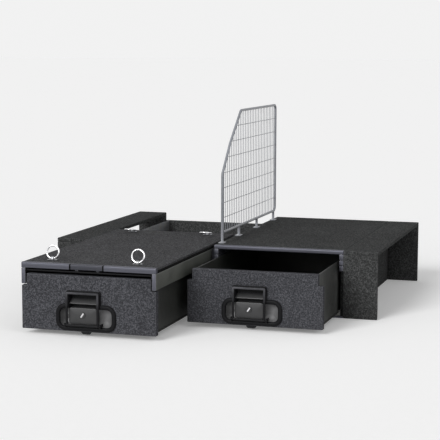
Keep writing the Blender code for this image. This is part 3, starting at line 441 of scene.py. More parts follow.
def evaluated_mesh(holder):
    """Return the plain mesh that an object's modifiers make."""
    graph = bpy.context.evaluated_depsgraph_get()
    made = bpy.data.meshes.new_from_object(holder.evaluated_get(graph))
    if not made.polygons:
        raise RuntimeError("the modifiers made nothing for " + holder.name)
    return made


def discard(holder):
    """Remove an object and its mesh."""
    mesh = holder.data
    bpy.data.objects.remove(holder, do_unlink=True)
    if mesh.users == 0:
        bpy.data.meshes.remove(mesh)


def carve(bm, tools):
    """Apply exact Booleans to a closed shape in turn and return the result."""
    base = put_in_scene("carved stock", mesh_of("carved stock", bm))
    holders = [base]
    for tool, how in tools:
        holder = put_in_scene("carving tool", mesh_of("carving tool", tool))
        modifier = base.modifiers.new(how.title(), 'BOOLEAN')
        modifier.operation = how
        modifier.solver = 'EXACT'
        modifier.object = holder
        holders.append(holder)
    made = evaluated_mesh(base)
    result = bmesh.new()
    result.from_mesh(made)
    bpy.data.meshes.remove(made)
    for holder in holders:
        discard(holder)
    return result


def add_piece(name, bm, finish, body, nodes=(), sharp=35):
    """Turn a bmesh into a finished piece that rides on a body of the frame."""
    finish_piece(name, mesh_of(name, bm), finish, body, nodes, sharp)


def finish_piece(name, mesh, finish, body, nodes=(), sharp=35):
    """Give a mesh its finish and shading, and tie it to a body."""
    mesh.shade_smooth()
    mesh.set_sharp_from_angle(angle=math.radians(sharp))
    mesh.materials.clear()
    mesh.materials.append(FINISHES[finish])
    piece = put_in_scene(name, mesh)
    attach(piece, body)
    if nodes:
        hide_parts(*nodes)


def body_of_node(node):
    """Return the name of the body that a CAD node belongs to."""
    for body, members in frame["record"]["behaviour"]["bodies"].items():
        if node in members:
            return body
    raise RuntimeError("no body holds the node " + node)


# Node tree tools

class Graph:
    """Adds nodes to a tree and links what they are fed."""

    def __init__(self, tree):
        self.tree = tree

    def add(self, kind, feeds=None, **options):
        """Add a node; each feed is a value or another node's output."""
        node = self.tree.nodes.new(kind)
        for key, value in options.items():
            setattr(node, key, value)
        for key, value in (feeds or {}).items():
            self.feed(node.inputs[key], value)
        return node

    def feed(self, socket, value):
        """Link an output to an input, or give the input a plain value."""
        if isinstance(value, bpy.types.NodeSocket):
            self.tree.links.new(value, socket)
        else:
            socket.default_value = value

    def noise(self, place, scale, detail=2.0, roughness=0.5):
        """Add a noise and return its value."""
        return self.add('ShaderNodeTexNoise', {
            'Vector': place, 'Scale': scale, 'Detail': detail,
            'Roughness': roughness}).outputs[0]

    def cells(self, place, scale):
        """Add a cell pattern and return the channels of its random colours."""
        cells = self.add('ShaderNodeTexVoronoi', {'Vector': place, 'Scale': scale})
        return self.add('ShaderNodeSeparateColor', {0: cells.outputs['Color']}).outputs

    def spread(self, value, low, high, bottom=0.0, top=1.0):
        """Stretch a value's range to another one."""
        return self.add('ShaderNodeMapRange', {
            'Value': value, 'From Min': low, 'From Max': high, 'To Min': bottom,
            'To Max': top}).outputs[0]

    def maths(self, operation, first, second):
        """Combine two values."""
        return self.add('ShaderNodeMath', {0: first, 1: second},
                        operation=operation).outputs[0]

    def plus(self, first, second):
        """Add two values."""
        return self.maths('ADD', first, second)

    def times(self, first, second):
        """Multiply two values."""
        return self.maths('MULTIPLY', first, second)

    def mix(self, share, first, second, blend='MIX'):
        """Mix two colours."""
        return self.add('ShaderNodeMix', {0: share, 6: first, 7: second},
                        data_type='RGBA', blend_type=blend).outputs[2]

    def grey(self, level):
        """Return the grey of a level."""
        return self.add('ShaderNodeCombineColor',
                        {0: level, 1: level, 2: level}).outputs[0]

    def dimmed(self, shade, level):
        """Multiply a colour by a level."""
        return self.mix(1.0, shade, self.grey(level), 'MULTIPLY')

    def surface(self, shade, rough, height):
        """End a surface group and return its tree."""
        self.add('NodeGroupOutput', {'Colour': shade, 'Roughness': rough,
                                     'Height': height})
        return self.tree


def make_group(name, kind, inputs, outputs):
    """Start a node group and return its graph and its inputs."""
    tree = bpy.data.node_groups.new(name, kind)
    for label, socket_kind, value in inputs:
        socket = tree.interface.new_socket(name=label, in_out='INPUT',
                                           socket_type=socket_kind)
        if value is not None:
            socket.default_value = value
    for label, socket_kind in outputs:
        tree.interface.new_socket(name=label, in_out='OUTPUT', socket_type=socket_kind)
    graph = Graph(tree)
    return graph, graph.add('NodeGroupInput').outputs


def shader_group(name, values):
    """Start a surface group whose outputs are a colour, a roughness and a height."""
    # Edge marks worn edges, and also the painted light on the bowl and the bail
    inputs = [("Place", 'NodeSocketVector', None), ("Edge", 'NodeSocketFloat', 0.0)]
    for label, value in values:
        kind = 'NodeSocketColor' if isinstance(value, tuple) else 'NodeSocketFloat'
        inputs.append((label, kind, value))
    outputs = (("Colour", 'NodeSocketColor'), ("Roughness", 'NodeSocketFloat'),
               ("Height", 'NodeSocketFloat'))
    return make_group(name, 'ShaderNodeTree', inputs, outputs)


def carpet_group():
    """Needle-felt pile: matted fibres with light and dark flecks."""
    graph, given = shader_group("carpet pile", (
        ("Base", GREY), ("Light", GREY), ("Dark", GREY), ("Mottle", 1.0)))
    place = given["Place"]
    fibre = graph.noise(place, 1500.0, 3.0, 0.65)
    tuft = graph.noise(place, 420.0, 2.0)
    clump = graph.noise(place, 185.0, 2.0, 0.65)
    drift = graph.noise(place, 7.0, 1.0)
    flecks = graph.cells(place, 300.0)
    light = graph.spread(flecks[0], 0.76, 0.90)
    dark = graph.spread(flecks[1], 0.26, 0.12)
    mottle = graph.times(graph.spread(clump, 0.40, 0.66), given["Mottle"])
    shade = graph.mix(graph.times(mottle, 0.75), given["Base"], given["Dark"])
    glint = graph.times(graph.spread(clump, 0.50, 0.34), given["Mottle"])
    shade = graph.mix(graph.times(glint, 0.60), shade, given["Light"])
    shade = graph.mix(graph.times(light, 0.55), shade, given["Light"])
    shade = graph.mix(graph.times(dark, 0.50), shade, given["Dark"])
    pile = graph.times(graph.spread(tuft, 0.3, 0.7, 0.86, 1.14),
                       graph.spread(fibre, 0.3, 0.7, 0.80, 1.20))
    pile = graph.times(pile, graph.spread(drift, 0.3, 0.7, 0.93, 1.07))
    shade = graph.dimmed(shade, pile)
    rubbed = graph.times(given["Edge"], graph.spread(tuft, 0.35, 0.6, 0.0, 0.25))
    shade = graph.mix(rubbed, shade, given["Light"])
    rough = graph.spread(fibre, 0.3, 0.7, 0.86, 1.0)
    return graph.surface(shade, rough, graph.plus(graph.times(fibre, 0.5), tuft))


def metal_group():
    """Drawn or brushed metal: fine streaks along one axis, with rubbed edges."""
    graph, given = shader_group("drawn metal", (
        ("Base", GREY), ("Finish", 0.35), ("Mottle", 0.1)))
    place = given["Place"]
    streak = graph.noise(place, 1.0, 4.0, 0.7)
    cloud = graph.noise(place, 0.06, 2.0)
    tint = graph.spread(graph.plus(streak, cloud), 0.7, 1.3, 0.88, 1.12)
    shade = graph.dimmed(given["Base"], tint)
    bare = (0.62, 0.62, 0.64, 1.0)
    shade = graph.mix(graph.times(given["Edge"], 0.35), shade, bare)
    change = graph.times(graph.spread(streak, 0.3, 0.7, -1.0, 1.0), given["Mottle"])
    rough = graph.plus(given["Finish"], change)
    rough = graph.maths('SUBTRACT', rough, graph.times(given["Edge"], 0.08))
    return graph.surface(shade, rough, streak)


def coating_group():
    """Moulded or sprayed skin: fine grain, faint scuffs, paler worn edges, and paler
    painted light where the edge input marks it.
    """
    graph, given = shader_group("grained skin", (
        ("Base", GREY), ("Worn", GREY), ("Finish", 0.45), ("Grain", 900.0),
        ("Scuff", 0.3)))
    place = given["Place"]
    grain = graph.noise(place, given["Grain"], 2.0, 0.6)
    cloud = graph.noise(place, 14.0, 3.0, 0.6)
    lay = graph.add('ShaderNodeMapping', {'Vector': place, 'Rotation': (0.4, 0.9, 0.5),
                                          'Scale': (30.0, 700.0, 700.0)})
    scratch = graph.spread(graph.noise(lay.outputs[0], 1.0, 2.0), 0.64, 0.72)
    scuff = graph.times(scratch, graph.spread(cloud, 0.45, 0.65))
    scuff = graph.times(scuff, given["Scuff"])
    tint = graph.times(graph.spread(grain, 0.3, 0.7, 0.88, 1.12),
                       graph.spread(cloud, 0.3, 0.7, 0.90, 1.10))
    shade = graph.dimmed(given["Base"], tint)
    shade = graph.mix(scuff, shade, given["Worn"])
    # Paler where the edge input marks it: worn edges, and on the bowl and the bail
    # painted light
    rub = graph.times(given["Edge"], graph.spread(cloud, 0.35, 0.65, 0.15, 0.6))
    shade = graph.mix(rub, shade, given["Worn"])
    rough = graph.plus(given["Finish"], graph.spread(cloud, 0.3, 0.7, -0.06, 0.08))
    rough = graph.plus(rough, graph.times(scuff, 0.25))
    return graph.surface(shade, rough, grain)


def plating_group():
    """Zinc or chrome plate: crystal patches, a faint tint and fine wiping marks."""
    graph, given = shader_group("bright plating", (
        ("Base", GREY), ("Finish", 0.3), ("Patch", 160.0), ("Contrast", 0.2)))
    place = given["Place"]
    crystals = graph.cells(place, given["Patch"])
    wipe = graph.noise(place, 260.0, 4.0, 0.7)
    cloud = graph.noise(place, 30.0, 2.0)
    patch = graph.spread(crystals[0], 0.0, 1.0, -1.0, 1.0)
    patch = graph.times(patch, given["Contrast"])
    shade = graph.dimmed(given["Base"], graph.plus(1.0, patch))
    straw = (0.60, 0.56, 0.46, 1.0)
    shade = graph.mix(graph.spread(cloud, 0.45, 0.75, 0.0, 0.25), shade, straw)
    rough = graph.plus(given["Finish"], graph.times(patch, 0.3))
    rough = graph.plus(rough, graph.spread(wipe, 0.4, 0.7, 0.0, 0.10))
    return graph.surface(shade, rough, wipe)


def make_finish(name, group, feeds, relief, gloss=PLAIN_GLOSS, metallic=0.0,
                stretch=(1.0, 1.0, 1.0), handled=None):
    """Make one material: a surface group into a shader, with bump from its height.

    Relief gives the bump's strength and distance. Painted light heights give two
    heights, between which the surface goes from its own colour to painted light.
    """
    material = bpy.data.materials.new(name)
    material.use_nodes = True
    graph = Graph(material.node_tree)
    place = graph.add('ShaderNodeTexCoord').outputs['Object']
    place = graph.add('ShaderNodeMapping',
                      {'Vector': place, 'Scale': stretch}).outputs[0]
    # The wear layer marks worn edges, and the bowl's half with painted light
    edge = graph.add('ShaderNodeAttribute', attribute_name=WEAR_AND_LIGHT_LAYER).outputs['Fac']
    # Painted light: paler above a height, where the light falls, with the lower part
    # left in shade
    if handled:
        height = graph.add('ShaderNodeSeparateXYZ', {0: place}).outputs['Z']
        edge = graph.maths('MAXIMUM', edge, graph.spread(height, *handled))
    skin = graph.add('ShaderNodeGroup', {"Place": place, "Edge": edge, **feeds},
                     node_tree=group).outputs
    bump = graph.add('ShaderNodeBump', {'Height': skin["Height"],
                                        'Strength': relief[0], 'Distance': relief[1]})
    shader = material.node_tree.nodes["Principled BSDF"]
    for label, value in (("Base Color", skin["Colour"]),
                         ("Roughness", skin["Roughness"]), ("Metallic", metallic),
                         ("Specular IOR Level", gloss), ("Normal", bump.outputs[0])):
        graph.feed(shader.inputs[label], value)
    FINISHES[name] = material


def tone(value, factor=1.0):
    """Return a setting's colour with alpha, lighter or darker by a factor."""
    return tuple(min(1.0, part * factor) for part in value) + (1.0,)


class DRAWERS_OT_finishes(bpy.types.Operator):
    """Make the carpets, metals and plastics, and dress the solids that stay"""
    bl_idname = "drawer_system.finishes"
    bl_label = "Finishes"

    # Name, setting and depth of the mottle
    carpets = (("face carpet", "face_carpet", 0.85),
               ("floor carpet", "floor_carpet", 0.90),
               ("deck carpet", "deck_carpet", 0.80))
    # Name, scale of the streaks along X, Y and Z, and lightness
    drawn = (("anodised nosing", (6.0, 900.0, 900.0), 1.0),
             ("anodised lever", (6.0, 900.0, 900.0), 0.55),
             ("anodised rail", (900.0, 6.0, 900.0), 1.0),
             ("anodised upright", (900.0, 900.0, 6.0), 1.0))
    # Name, setting, roughness, size and contrast of the crystal patches, and relief
    plated = (("zinc plate", "zinc", 0.36, 210.0, 0.16, (0.15, 0.0002)),
              ("polished chrome", "chrome", 0.07, 90.0, 0.02, (0.03, 0.0001)))
    # Name, setting, lightness new and worn, roughness, grain, scuffs, relief and gloss;
    # on the bowl and the bail the worn lightness is mostly painted light
    coats = (("painted channel", "channel_paint", 1.0, 2.2, 0.48, 1100.0, 0.35,
              (0.25, 0.0003), PLAIN_GLOSS),
             ("black moulding", "moulding", 1.0, 4.0, 0.46, 1900.0, 0.30,
              (0.22, 0.0003), 0.10),
             # The bowl's worn tone paints the light on its right half
             ("satin bowl", "bowl", 1.0, 5.0, 0.52, 1700.0, 0.20,
              (0.20, 0.0003), PLAIN_GLOSS),
             ("satin plate", "plate", 1.0, 2.2, 0.40, 1700.0, 0.20,
              (0.20, 0.0003), PLAIN_GLOSS),
             # The bail's worn tone paints the light on its upper part
             ("black bail", "bail", 1.0, 15.0, 0.42, 700.0, 0.05,
              (0.06, 0.0002), 0.12),
             ("black zinc", "black_zinc", 1.0, 4.0, 0.48, 420.0, 0.40,
              (0.12, 0.0002), 0.25),
             ("wheel nylon", "nylon", 1.0, 0.5, 0.42, 500.0, 0.50,
              (0.10, 0.0002), PLAIN_GLOSS),
             ("runner nylon", "nylon", 0.9, 0.5, 0.42, 500.0, 0.50,
              (0.10, 0.0002), PLAIN_GLOSS),
             ("drawer sheet", "sheet", 1.0, 2.6, 0.52, 1300.0, 0.40,
              (0.30, 0.0003), PLAIN_GLOSS),
             ("coated wire", "wire", 1.0, 1.6, 0.36, 900.0, 0.30,
              (0.10, 0.0002), PLAIN_GLOSS),
             ("black rubber", "rubber", 1.0, 3.0, 0.75, 1600.0, 0.30,
              (0.30, 0.0003), 0.08))
    # Heights between which the bails go from black to paler: painted light on their
    # upper part, with the lower part left in shade
    handled = {"black bail": (0.105, 0.150)}
    # Solids that stay as they are, by finish
    kept = {
        "anodised upright": ("joiner_front", "joiner_rear"),
        "zinc plate": ("left_wheel_plate_outer", "left_wheel_plate_inner"),
        "black moulding": ("floor_latch_bar",),
        "runner nylon": ("left_runner_outer", "left_runner_inner", "right_runner_outer",
                         "right_runner_inner"),
        "drawer sheet": ("left_base", "right_base"),
    }

    def execute(self, context):
        kit = settings().finish
        carpet = carpet_group()
        metal = metal_group()
        coating = coating_group()
        plating = plating_group()
        for name, setting, mottle in self.carpets:
            base = getattr(kit, setting)
            feeds = {"Base": tone(base), "Light": tone(base, 2.3),
                     "Dark": tone(base, 0.42), "Mottle": mottle}
            make_finish(name, carpet, feeds, (0.85, 0.0012), gloss=0.02)
        for name, streaks, lift in self.drawn:
            feeds = {"Base": tone(kit.anodised, lift), "Finish": 0.48, "Mottle": 0.10}
            make_finish(name, metal, feeds, (0.12, 0.0002), metallic=0.6,
                        stretch=streaks)
        for name, setting, finish, patch, contrast, relief in self.plated:
            feeds = {"Base": tone(getattr(kit, setting)), "Finish": finish,
                     "Patch": patch, "Contrast": contrast}
            make_finish(name, plating, feeds, relief, metallic=1.0)
        for name, setting, new, worn, finish, grain, scuff, relief, gloss in self.coats:
            base = getattr(kit, setting)
            feeds = {"Base": tone(base, new), "Worn": tone(base, worn),
                     "Finish": finish, "Grain": grain, "Scuff": scuff}
            make_finish(name, coating, feeds, relief, gloss,
                        handled=self.handled.get(name))
        for name, nodes in self.kept.items():
            for node in nodes:
                solid = frame["nodes"][node]
                for slot in solid.material_slots:
                    slot.material = FINISHES[name]
        return {'FINISHED'}


class DRAWERS_OT_boards(bpy.types.Operator):
    """Wrap the deck, roller floor, wings, sides and backs in carpet"""
    bl_idname = "drawer_system.boards"
    bl_label = "Carpeted boards"

    boards = ("right_deck", "floor_board", "wing_left_top", "wing_left_front",
              "wing_right_top", "wing_right_front", "left_side_outer",
              "left_side_inner", "right_side_outer", "right_side_inner", "left_back",
              "right_back")

    def execute(self, context):
        radius = settings().board.edge_radius
        for node in self.boards:
            bm = solid_copy(node)
            if node.endswith("_back"):
                self.set_in(bm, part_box(node)[1].y)
            round_edges(bm, radius, 3)
            finish = "floor carpet" if node == "floor_board" else "deck carpet"
            add_piece(node + "_carpeted", bm, finish, body_of_node(node),
                      [node])
        self.side_strips()
        return {'FINISHED'}

    def set_in(self, bm, rear):
        """Set a back panel's rear face in by the height of the screws on it."""
        for vert in bm.verts:
            if vert.co.y > rear - FIT:
                vert.co.y -= settings().screw.head_height

    def side_strips(self):
        """Black strips in the rebates along the roller floor's sides, a painted shadow
        where the rebates are in shade.
        """
        low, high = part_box("floor_board")
        rail_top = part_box("floor_rail_outer")[1]
        inset = 0.0022
        width = 0.003
        height = 0.0098
        gap = 0.0004
        bottom = rail_top.z + gap
        # Painted shadow: black strips fill the rebates, to darken them as shade would
        strips = bmesh.new()
        for start in (low.x + inset, high.x - inset - width):
            strip = block((start, low.y, bottom),
                          (start + width, rail_top.y, bottom + height))
            join(strips, round_edges(strip, 0.0006))
        add_piece("floor_side_strips", strips, "black rubber", "roller_floor")


def middle_of(node):
    """Return the middle of a CAD node's box along X."""
    low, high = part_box(node)
    return (low.x + high.x) / 2


def place_on_drawer(bm, prefix):
    """Move a shape made about the origin onto a drawer, in line with its bail."""
    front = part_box(prefix + "_face")[0].y
    bmesh.ops.translate(bm, vec=(middle_of(prefix + "_bail"), front, 0), verts=bm.verts)
    return bm


def shrunk(shape, inset, y, steps=10):
    """Return the ring of a rounded rectangle, drawn in by an inset, at a depth."""
    least = 0.0003
    left, right, bottom, top, corner = shape
    outline = rounded_rectangle(left + inset, right - inset, bottom + inset,
                                top - inset, max(corner - inset, least), steps)
    return [(x, y, z) for x, z in outline]


def body_rings(shape, rim, edge, kit):
    """Rings of a moulding's outside: its pan, its flange and the rounded rim."""
    rings = [shrunk(shape, rim, kit.depth), shrunk(shape, rim, -FIT),
             shrunk(shape, 0, -FIT)]
    for inset, y in arc((edge, edge - kit.flange), edge, 180, 270, 5):
        rings.append(shrunk(shape, inset, y))
    return rings


def hollow_rings(shape, rim, edge, kit):
    """Rings of a hollow: its flared mouth, its sloping wall and the floor's fillet."""
    floor = kit.depth - kit.wall
    rings = [shrunk(shape, rim - edge, -kit.flange - CLEAR)]
    for inset, y in arc((rim - edge, edge - kit.flange), edge, -90, 0, 5):
        rings.append(shrunk(shape, inset, y))
    fillet = kit.fillet
    foot = rim + kit.draft + fillet
    for inset, y in arc((foot, floor - fillet), fillet, 180, 90, 4):
        rings.append(shrunk(shape, inset, y))
    return rings


def dish_shape(kit):
    """Rounded rectangle of the dish, about the middle of the bail."""
    offset = middle_of("left_dish") - middle_of("left_bail")
    return (offset - kit.dish_half, offset + kit.dish_half, kit.dish_bottom,
            kit.dish_top, kit.dish_corner)


def neck_shape(kit):
    """Rounded rectangle of the moulding's upper part."""
    return (-kit.neck_half, kit.neck_half, kit.neck_bottom, kit.neck_top,
            kit.neck_corner)


class DRAWERS_OT_faces(bpy.types.Operator):
    """Make the carpeted face of each drawer, let in for its handle moulding"""
    bl_idname = "drawer_system.faces"
    bl_label = "Drawer faces"

    def execute(self, context):
        board = settings().board
        handle = settings().handle
        for prefix in DRAWERS:
            low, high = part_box(prefix + "_face")
            offset = middle_of(prefix + "_face") - middle_of(prefix + "_bail")
            half = (high.x - low.x) / 2
            inner = half - board.ear_width
            ear = high.z - board.ear_drop
            right = [(half, low.z), (half, ear), (inner, ear), (inner, high.z)]
            outline = [(offset + x, z) for x, z in right]
            outline += [(offset - x, z) for x, z in right[::-1]]
            bm = prism(outline, 'Y', 0, high.y - low.y)
            bm = round_edges(bm, board.face_radius, 4)
            tools = []
            for shape, rim in ((dish_shape(handle), handle.dish_rim),
                               (neck_shape(handle), handle.neck_rim)):
                rings = [shrunk(shape, rim - FIT, -CLEAR),
                         shrunk(shape, rim - FIT, handle.depth + FIT)]
                tools.append((loft(rings), 'DIFFERENCE'))
            slot = block((-board.slot_half, board.slot_start, low.z - CLEAR),
                         (board.slot_half, board.slot_end, board.slot_top))
            tools.append((slot, 'DIFFERENCE'))
            bm = place_on_drawer(carve(bm, tools), prefix)
            add_piece(prefix + "_face_carpeted", bm, "face carpet", prefix + "_drawer",
                      [prefix + "_face"])
        return {'FINISHED'}


def lock_plate(kit):
    """Crowned plate in the middle of the dish, round the lock."""
    shape = (-kit.plate_half, kit.plate_half, kit.plate_bottom, kit.plate_top,
             kit.plate_corner)
    edge = kit.small_round
    shoulder = kit.plate_rise - kit.plate_crown
    crowned = (kit.plate_top - kit.plate_bottom) * 0.4
    rings = [shrunk(shape, 0, kit.depth - kit.wall / 2)]
    for inset, y in arc((edge, edge - shoulder), edge, 180, 270, 5):
        rings.append(shrunk(shape, inset, y))
    for share in (0.2, 0.4, 0.6, 0.8, 0.95):
        rise = kit.plate_crown * math.sin(share * math.pi / 2)
        rings.append(shrunk(shape, edge + share * crowned, -shoulder - rise))
    return carve(loft(rings), [(lock_hole(kit), 'DIFFERENCE')])


def lock_hole(kit):
    """Round cutter for the lock's barrel, from before the plate to past the barrel."""
    reach = kit.lock_radius + 0.0004
    front = -0.020
    rear = 0.0103
    return turned(((reach, front), (reach, rear)), 'Y', (0, 0, kit.lock_height), 48)


def handle_lugs(kit):
    """Two rounded lugs that hold the foot of the bail."""
    start = kit.bail_half + kit.lug_gap
    height = kit.bail_bottom + kit.bail_bar / 2
    rear = kit.depth - kit.wall / 2
    radius = kit.lug_radius
    outline = arc((radius - kit.bail_front, height), radius, 90, 270, 10)
    outline += [(rear, height - radius), (rear, height + radius)]
    lugs = []
    for side in (-1, 1):
        near, far = sorted((side * start, side * (start + kit.lug_width)))
        lugs.append(round_edges(prism(outline, 'X', near, far), 0.0009))
    return lugs


def handle_moulding(kit):
    """Black moulding about the origin: dish, upper part, pocket and lugs."""
    dish = dish_shape(kit)
    neck = neck_shape(kit)
    pocket = (-kit.pocket_half, kit.pocket_half, kit.pocket_bottom, kit.pocket_top,
              kit.pocket_corner)
    wide = kit.rim_round
    small = kit.small_round
    tools = [(loft(body_rings(neck, kit.neck_rim, small, kit)), 'UNION'),
             (loft(hollow_rings(dish, kit.dish_rim, wide, kit)), 'DIFFERENCE'),
             (loft(hollow_rings(pocket, 0, small, kit)), 'DIFFERENCE')]
    tools += [(lug, 'UNION') for lug in handle_lugs(kit)]
    return carve(loft(body_rings(dish, kit.dish_rim, wide, kit)), tools)


def handle_bowl(kit):
    """Thin curved bowl behind the bail, painted paler on its right half as light from
    the left.
    """
    dish = dish_shape(kit)
    floor = kit.depth - kit.wall - kit.bowl_sheet - 0.0002
    lip = kit.dish_rim - 0.0004
    curve = 2.6
    steps = 12
    front = []
    for k in range(steps + 1):
        share = k / steps
        depth = (floor + kit.bowl_start) * (1 - (1 - share) ** curve)
        front.append((lip + share * kit.bowl_reach, depth - kit.bowl_start))
    rings = [shrunk(dish, inset, y) for inset, y in front[::-1]]
    rings += [shrunk(dish, inset, y + kit.bowl_sheet) for inset, y in front]
    bm = loft(rings)
    # Painted light: the right half is marked so that its finish paints it paler, as if
    # lit from the left
    layer = bm.faces.layers.float.new(WEAR_AND_LIGHT_LAYER)
    for face in bm.faces:
        if face.calc_center_median().x > 0:
            face[layer] = 1.0
    return bm


def pocket_ramp(kit):
    """Ramp in the finger pocket, sloping back from its foot to the pocket's floor."""
    rear = kit.depth - kit.wall
    toe = -kit.ramp_front
    foot = kit.ramp_bottom
    chamfer = 0.001
    outline = [(toe + chamfer, foot), (rear, foot), (rear, kit.ramp_top),
               (rear - chamfer, kit.ramp_top), (toe + 0.0006, foot + 0.0034),
               (toe, foot + 0.0024), (toe, foot + chamfer)]
    return prism(outline, 'X', -kit.pocket_half, kit.pocket_half)


class DRAWERS_OT_mouldings(bpy.types.Operator):
    """Make the black handle moulding of each drawer"""
    bl_idname = "drawer_system.mouldings"
    bl_label = "Handle mouldings"

    def execute(self, context):
        kit = settings().handle
        made = handle_moulding(kit)
        for prefix in DRAWERS:
            bm = place_on_drawer(made.copy(), prefix)
            add_piece(prefix + "_handle_moulding", bm, "black moulding",
                      prefix + "_drawer", [prefix + "_dish"], 32)
            bowl = place_on_drawer(handle_bowl(kit), prefix)
            add_piece(prefix + "_handle_bowl", bowl, "satin bowl", prefix + "_drawer",
                      (), 40)
            plate = place_on_drawer(join(lock_plate(kit), pocket_ramp(kit)), prefix)
            add_piece(prefix + "_lock_plate", plate, "satin plate", prefix + "_drawer",
                      (), 32)
        made.free()
        return {'FINISHED'}


class DRAWERS_OT_bails(bpy.types.Operator):
    """Make the square pull bail of each drawer, with its pins"""
    bl_idname = "drawer_system.bails"
    bl_label = "Pull bails"

    def execute(self, context):
        kit = settings().handle
        shape = (-kit.bail_half, kit.bail_half, kit.bail_bottom, kit.bail_top,
                 kit.bail_corner)
        front = -kit.bail_front
        section = rounded_rectangle(0, kit.bail_bar, front, front + kit.bail_thickness,
                                    kit.bail_round, 4)
        pin = (0, front + kit.bail_thickness / 2, kit.bail_bottom + kit.bail_bar / 2)
        near = kit.bail_half - 0.001
        far = kit.bail_half + 0.004
        for prefix in DRAWERS:
            bm = loft([shrunk(shape, inset, y, 8) for inset, y in section], closed=True)
            for side in (-1, 1):
                profile = [(kit.pin_radius, side * reach) for reach in (near, far)]
                join(bm, turned(profile, 'X', pin, 20))
            add_piece(prefix + "_pull_bail", place_on_drawer(bm, prefix), "black bail",
                      prefix + "_handle", [prefix + "_bail"])
        return {'FINISHED'}


class DRAWERS_OT_locks(bpy.types.Operator):
    """Make the key lock of each drawer: a satin barrel with a leaning chromed bar"""
    bl_idname = "drawer_system.locks"
    bl_label = "Key locks"

    def execute(self, context):
        kit = settings().handle
        centre = Vector((0, 0, kit.lock_height))
        radius = kit.lock_radius
        front = -kit.lock_front
        rear = 0.010
        rim = [(radius - 0.0006, rear), (radius, rear - 0.0006),
               (radius, front + 0.0012), (radius - 0.0004, front + 0.0004),
               (radius - 0.0012, front)]
        groove = [(0.0068, front), (0.0062, front + 0.0006), (0.0058, front + 0.0006)]
        plug = [(0.0054, front + 0.0002), (0.0010, front + 0.0001)]
        barrel = rim + groove + plug
        width = kit.key_width / 2
        bar = (-width, width, -kit.key_half, kit.key_half, width - 0.0001)
        top = front - kit.key_rise
        for prefix in DRAWERS:
            rings = [shrunk(bar, -0.0004, front + 0.001), shrunk(bar, 0, top + 0.0016),
                     shrunk(bar, 0.0002, top + 0.0005), shrunk(bar, 0.0008, top)]
            key = loft(rings)
            lean = Matrix.Rotation(kit.key_lean, 4, 'Y')
            bmesh.ops.transform(key, matrix=lean, verts=key.verts)
            bmesh.ops.translate(key, vec=centre, verts=key.verts)
            bm = place_on_drawer(turned(barrel, 'Y', centre, 48), prefix)
            add_piece(prefix + "_key_barrel", bm, "satin plate", prefix + "_key_lock",
                      [prefix + "_lock"], 30)
            add_piece(prefix + "_key_bar", place_on_drawer(key, prefix),
                      "polished chrome", prefix + "_key_lock", (), 30)
        return {'FINISHED'}


class DRAWERS_OT_tongues(bpy.types.Operator):
    """Make the spring tongue that holds each drawer shut"""
    bl_idname = "drawer_system.tongues"
    bl_label = "Latch tongues"

    def execute(self, context):
        for prefix in DRAWERS:
            low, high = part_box(prefix + "_tongue")
            chamfer = (high.x - low.x) / 6
            outline = [(low.x, high.z), (low.x, low.z + chamfer),
                       (low.x + chamfer, low.z), (high.x - chamfer, low.z),
                       (high.x, low.z + chamfer), (high.x, high.z)]
            bm = round_edges(prism(outline, 'Y', low.y, high.y), 0.0006)
            add_piece(prefix + "_spring_tongue", bm, "black zinc",
                      prefix + "_latch_tongue", [prefix + "_tongue"])
        return {'FINISHED'}


def nosing_outline(y, depth, bottom, top, kit, set_back=0.0):
    """Cross-section of a nosing: rounded front, one shadow line and a gripped top."""
    y += set_back
    top -= set_back
    front = kit.nosing_front - set_back
    foot = kit.nosing_foot
    groove = kit.grip_depth
    line_share = 0.42
    middle = bottom + (top - bottom) * line_share
    points = [(y + depth, bottom)]
    points += arc((y + foot, bottom + foot), foot, 270, 180, 4)
    points += [(y, middle - groove), (y + groove, middle - groove / 2),
               (y + groove, middle + groove / 2), (y, middle + groove)]
    points += arc((y + front, top - front), front, 180, 90, 6)
    start = y + front + kit.grip_pitch / 2
    while start + kit.grip_pitch < y + depth:
        points += [(start, top), (start + groove, top - groove),
                   (start + 2 * groove, top - groove), (start + 3 * groove, top)]
        start += kit.grip_pitch
    points.append((y + depth, top))
    return points


class DRAWERS_OT_nosings(bpy.types.Operator):
    """Make the aluminium nosings of the deck and of the roller floor"""
    bl_idname = "drawer_system.nosings"
    bl_label = "Nosings"

    def execute(self, context):
        kit = settings().floor
        low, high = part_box("right_nosing")
        outline = nosing_outline(low.y, high.y - low.y, low.z, high.z, kit)
        add_piece("deck_nosing", prism(outline, 'X', low.x, high.x), "anodised nosing",
                  "carcass", ["right_nosing"], 25)
        low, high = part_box("floor_nosing")
        lever_low, lever_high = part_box("floor_lever")
        outline = nosing_outline(low.y, high.y - low.y, low.z, high.z, kit)
        gap = 0.0006
        bm = prism(outline, 'X', low.x, lever_low.x - gap)
        right = prism(outline, 'X', lever_high.x + gap, high.x)
        web = block((lever_low.x - gap, high.y - kit.web, low.z),
                    (lever_high.x + gap, high.y, high.z))
        join(bm, right, web)
        add_piece("roller_floor_nosing", bm, "anodised nosing", "roller_floor",
                  ["floor_nosing"], 25)
        return {'FINISHED'}


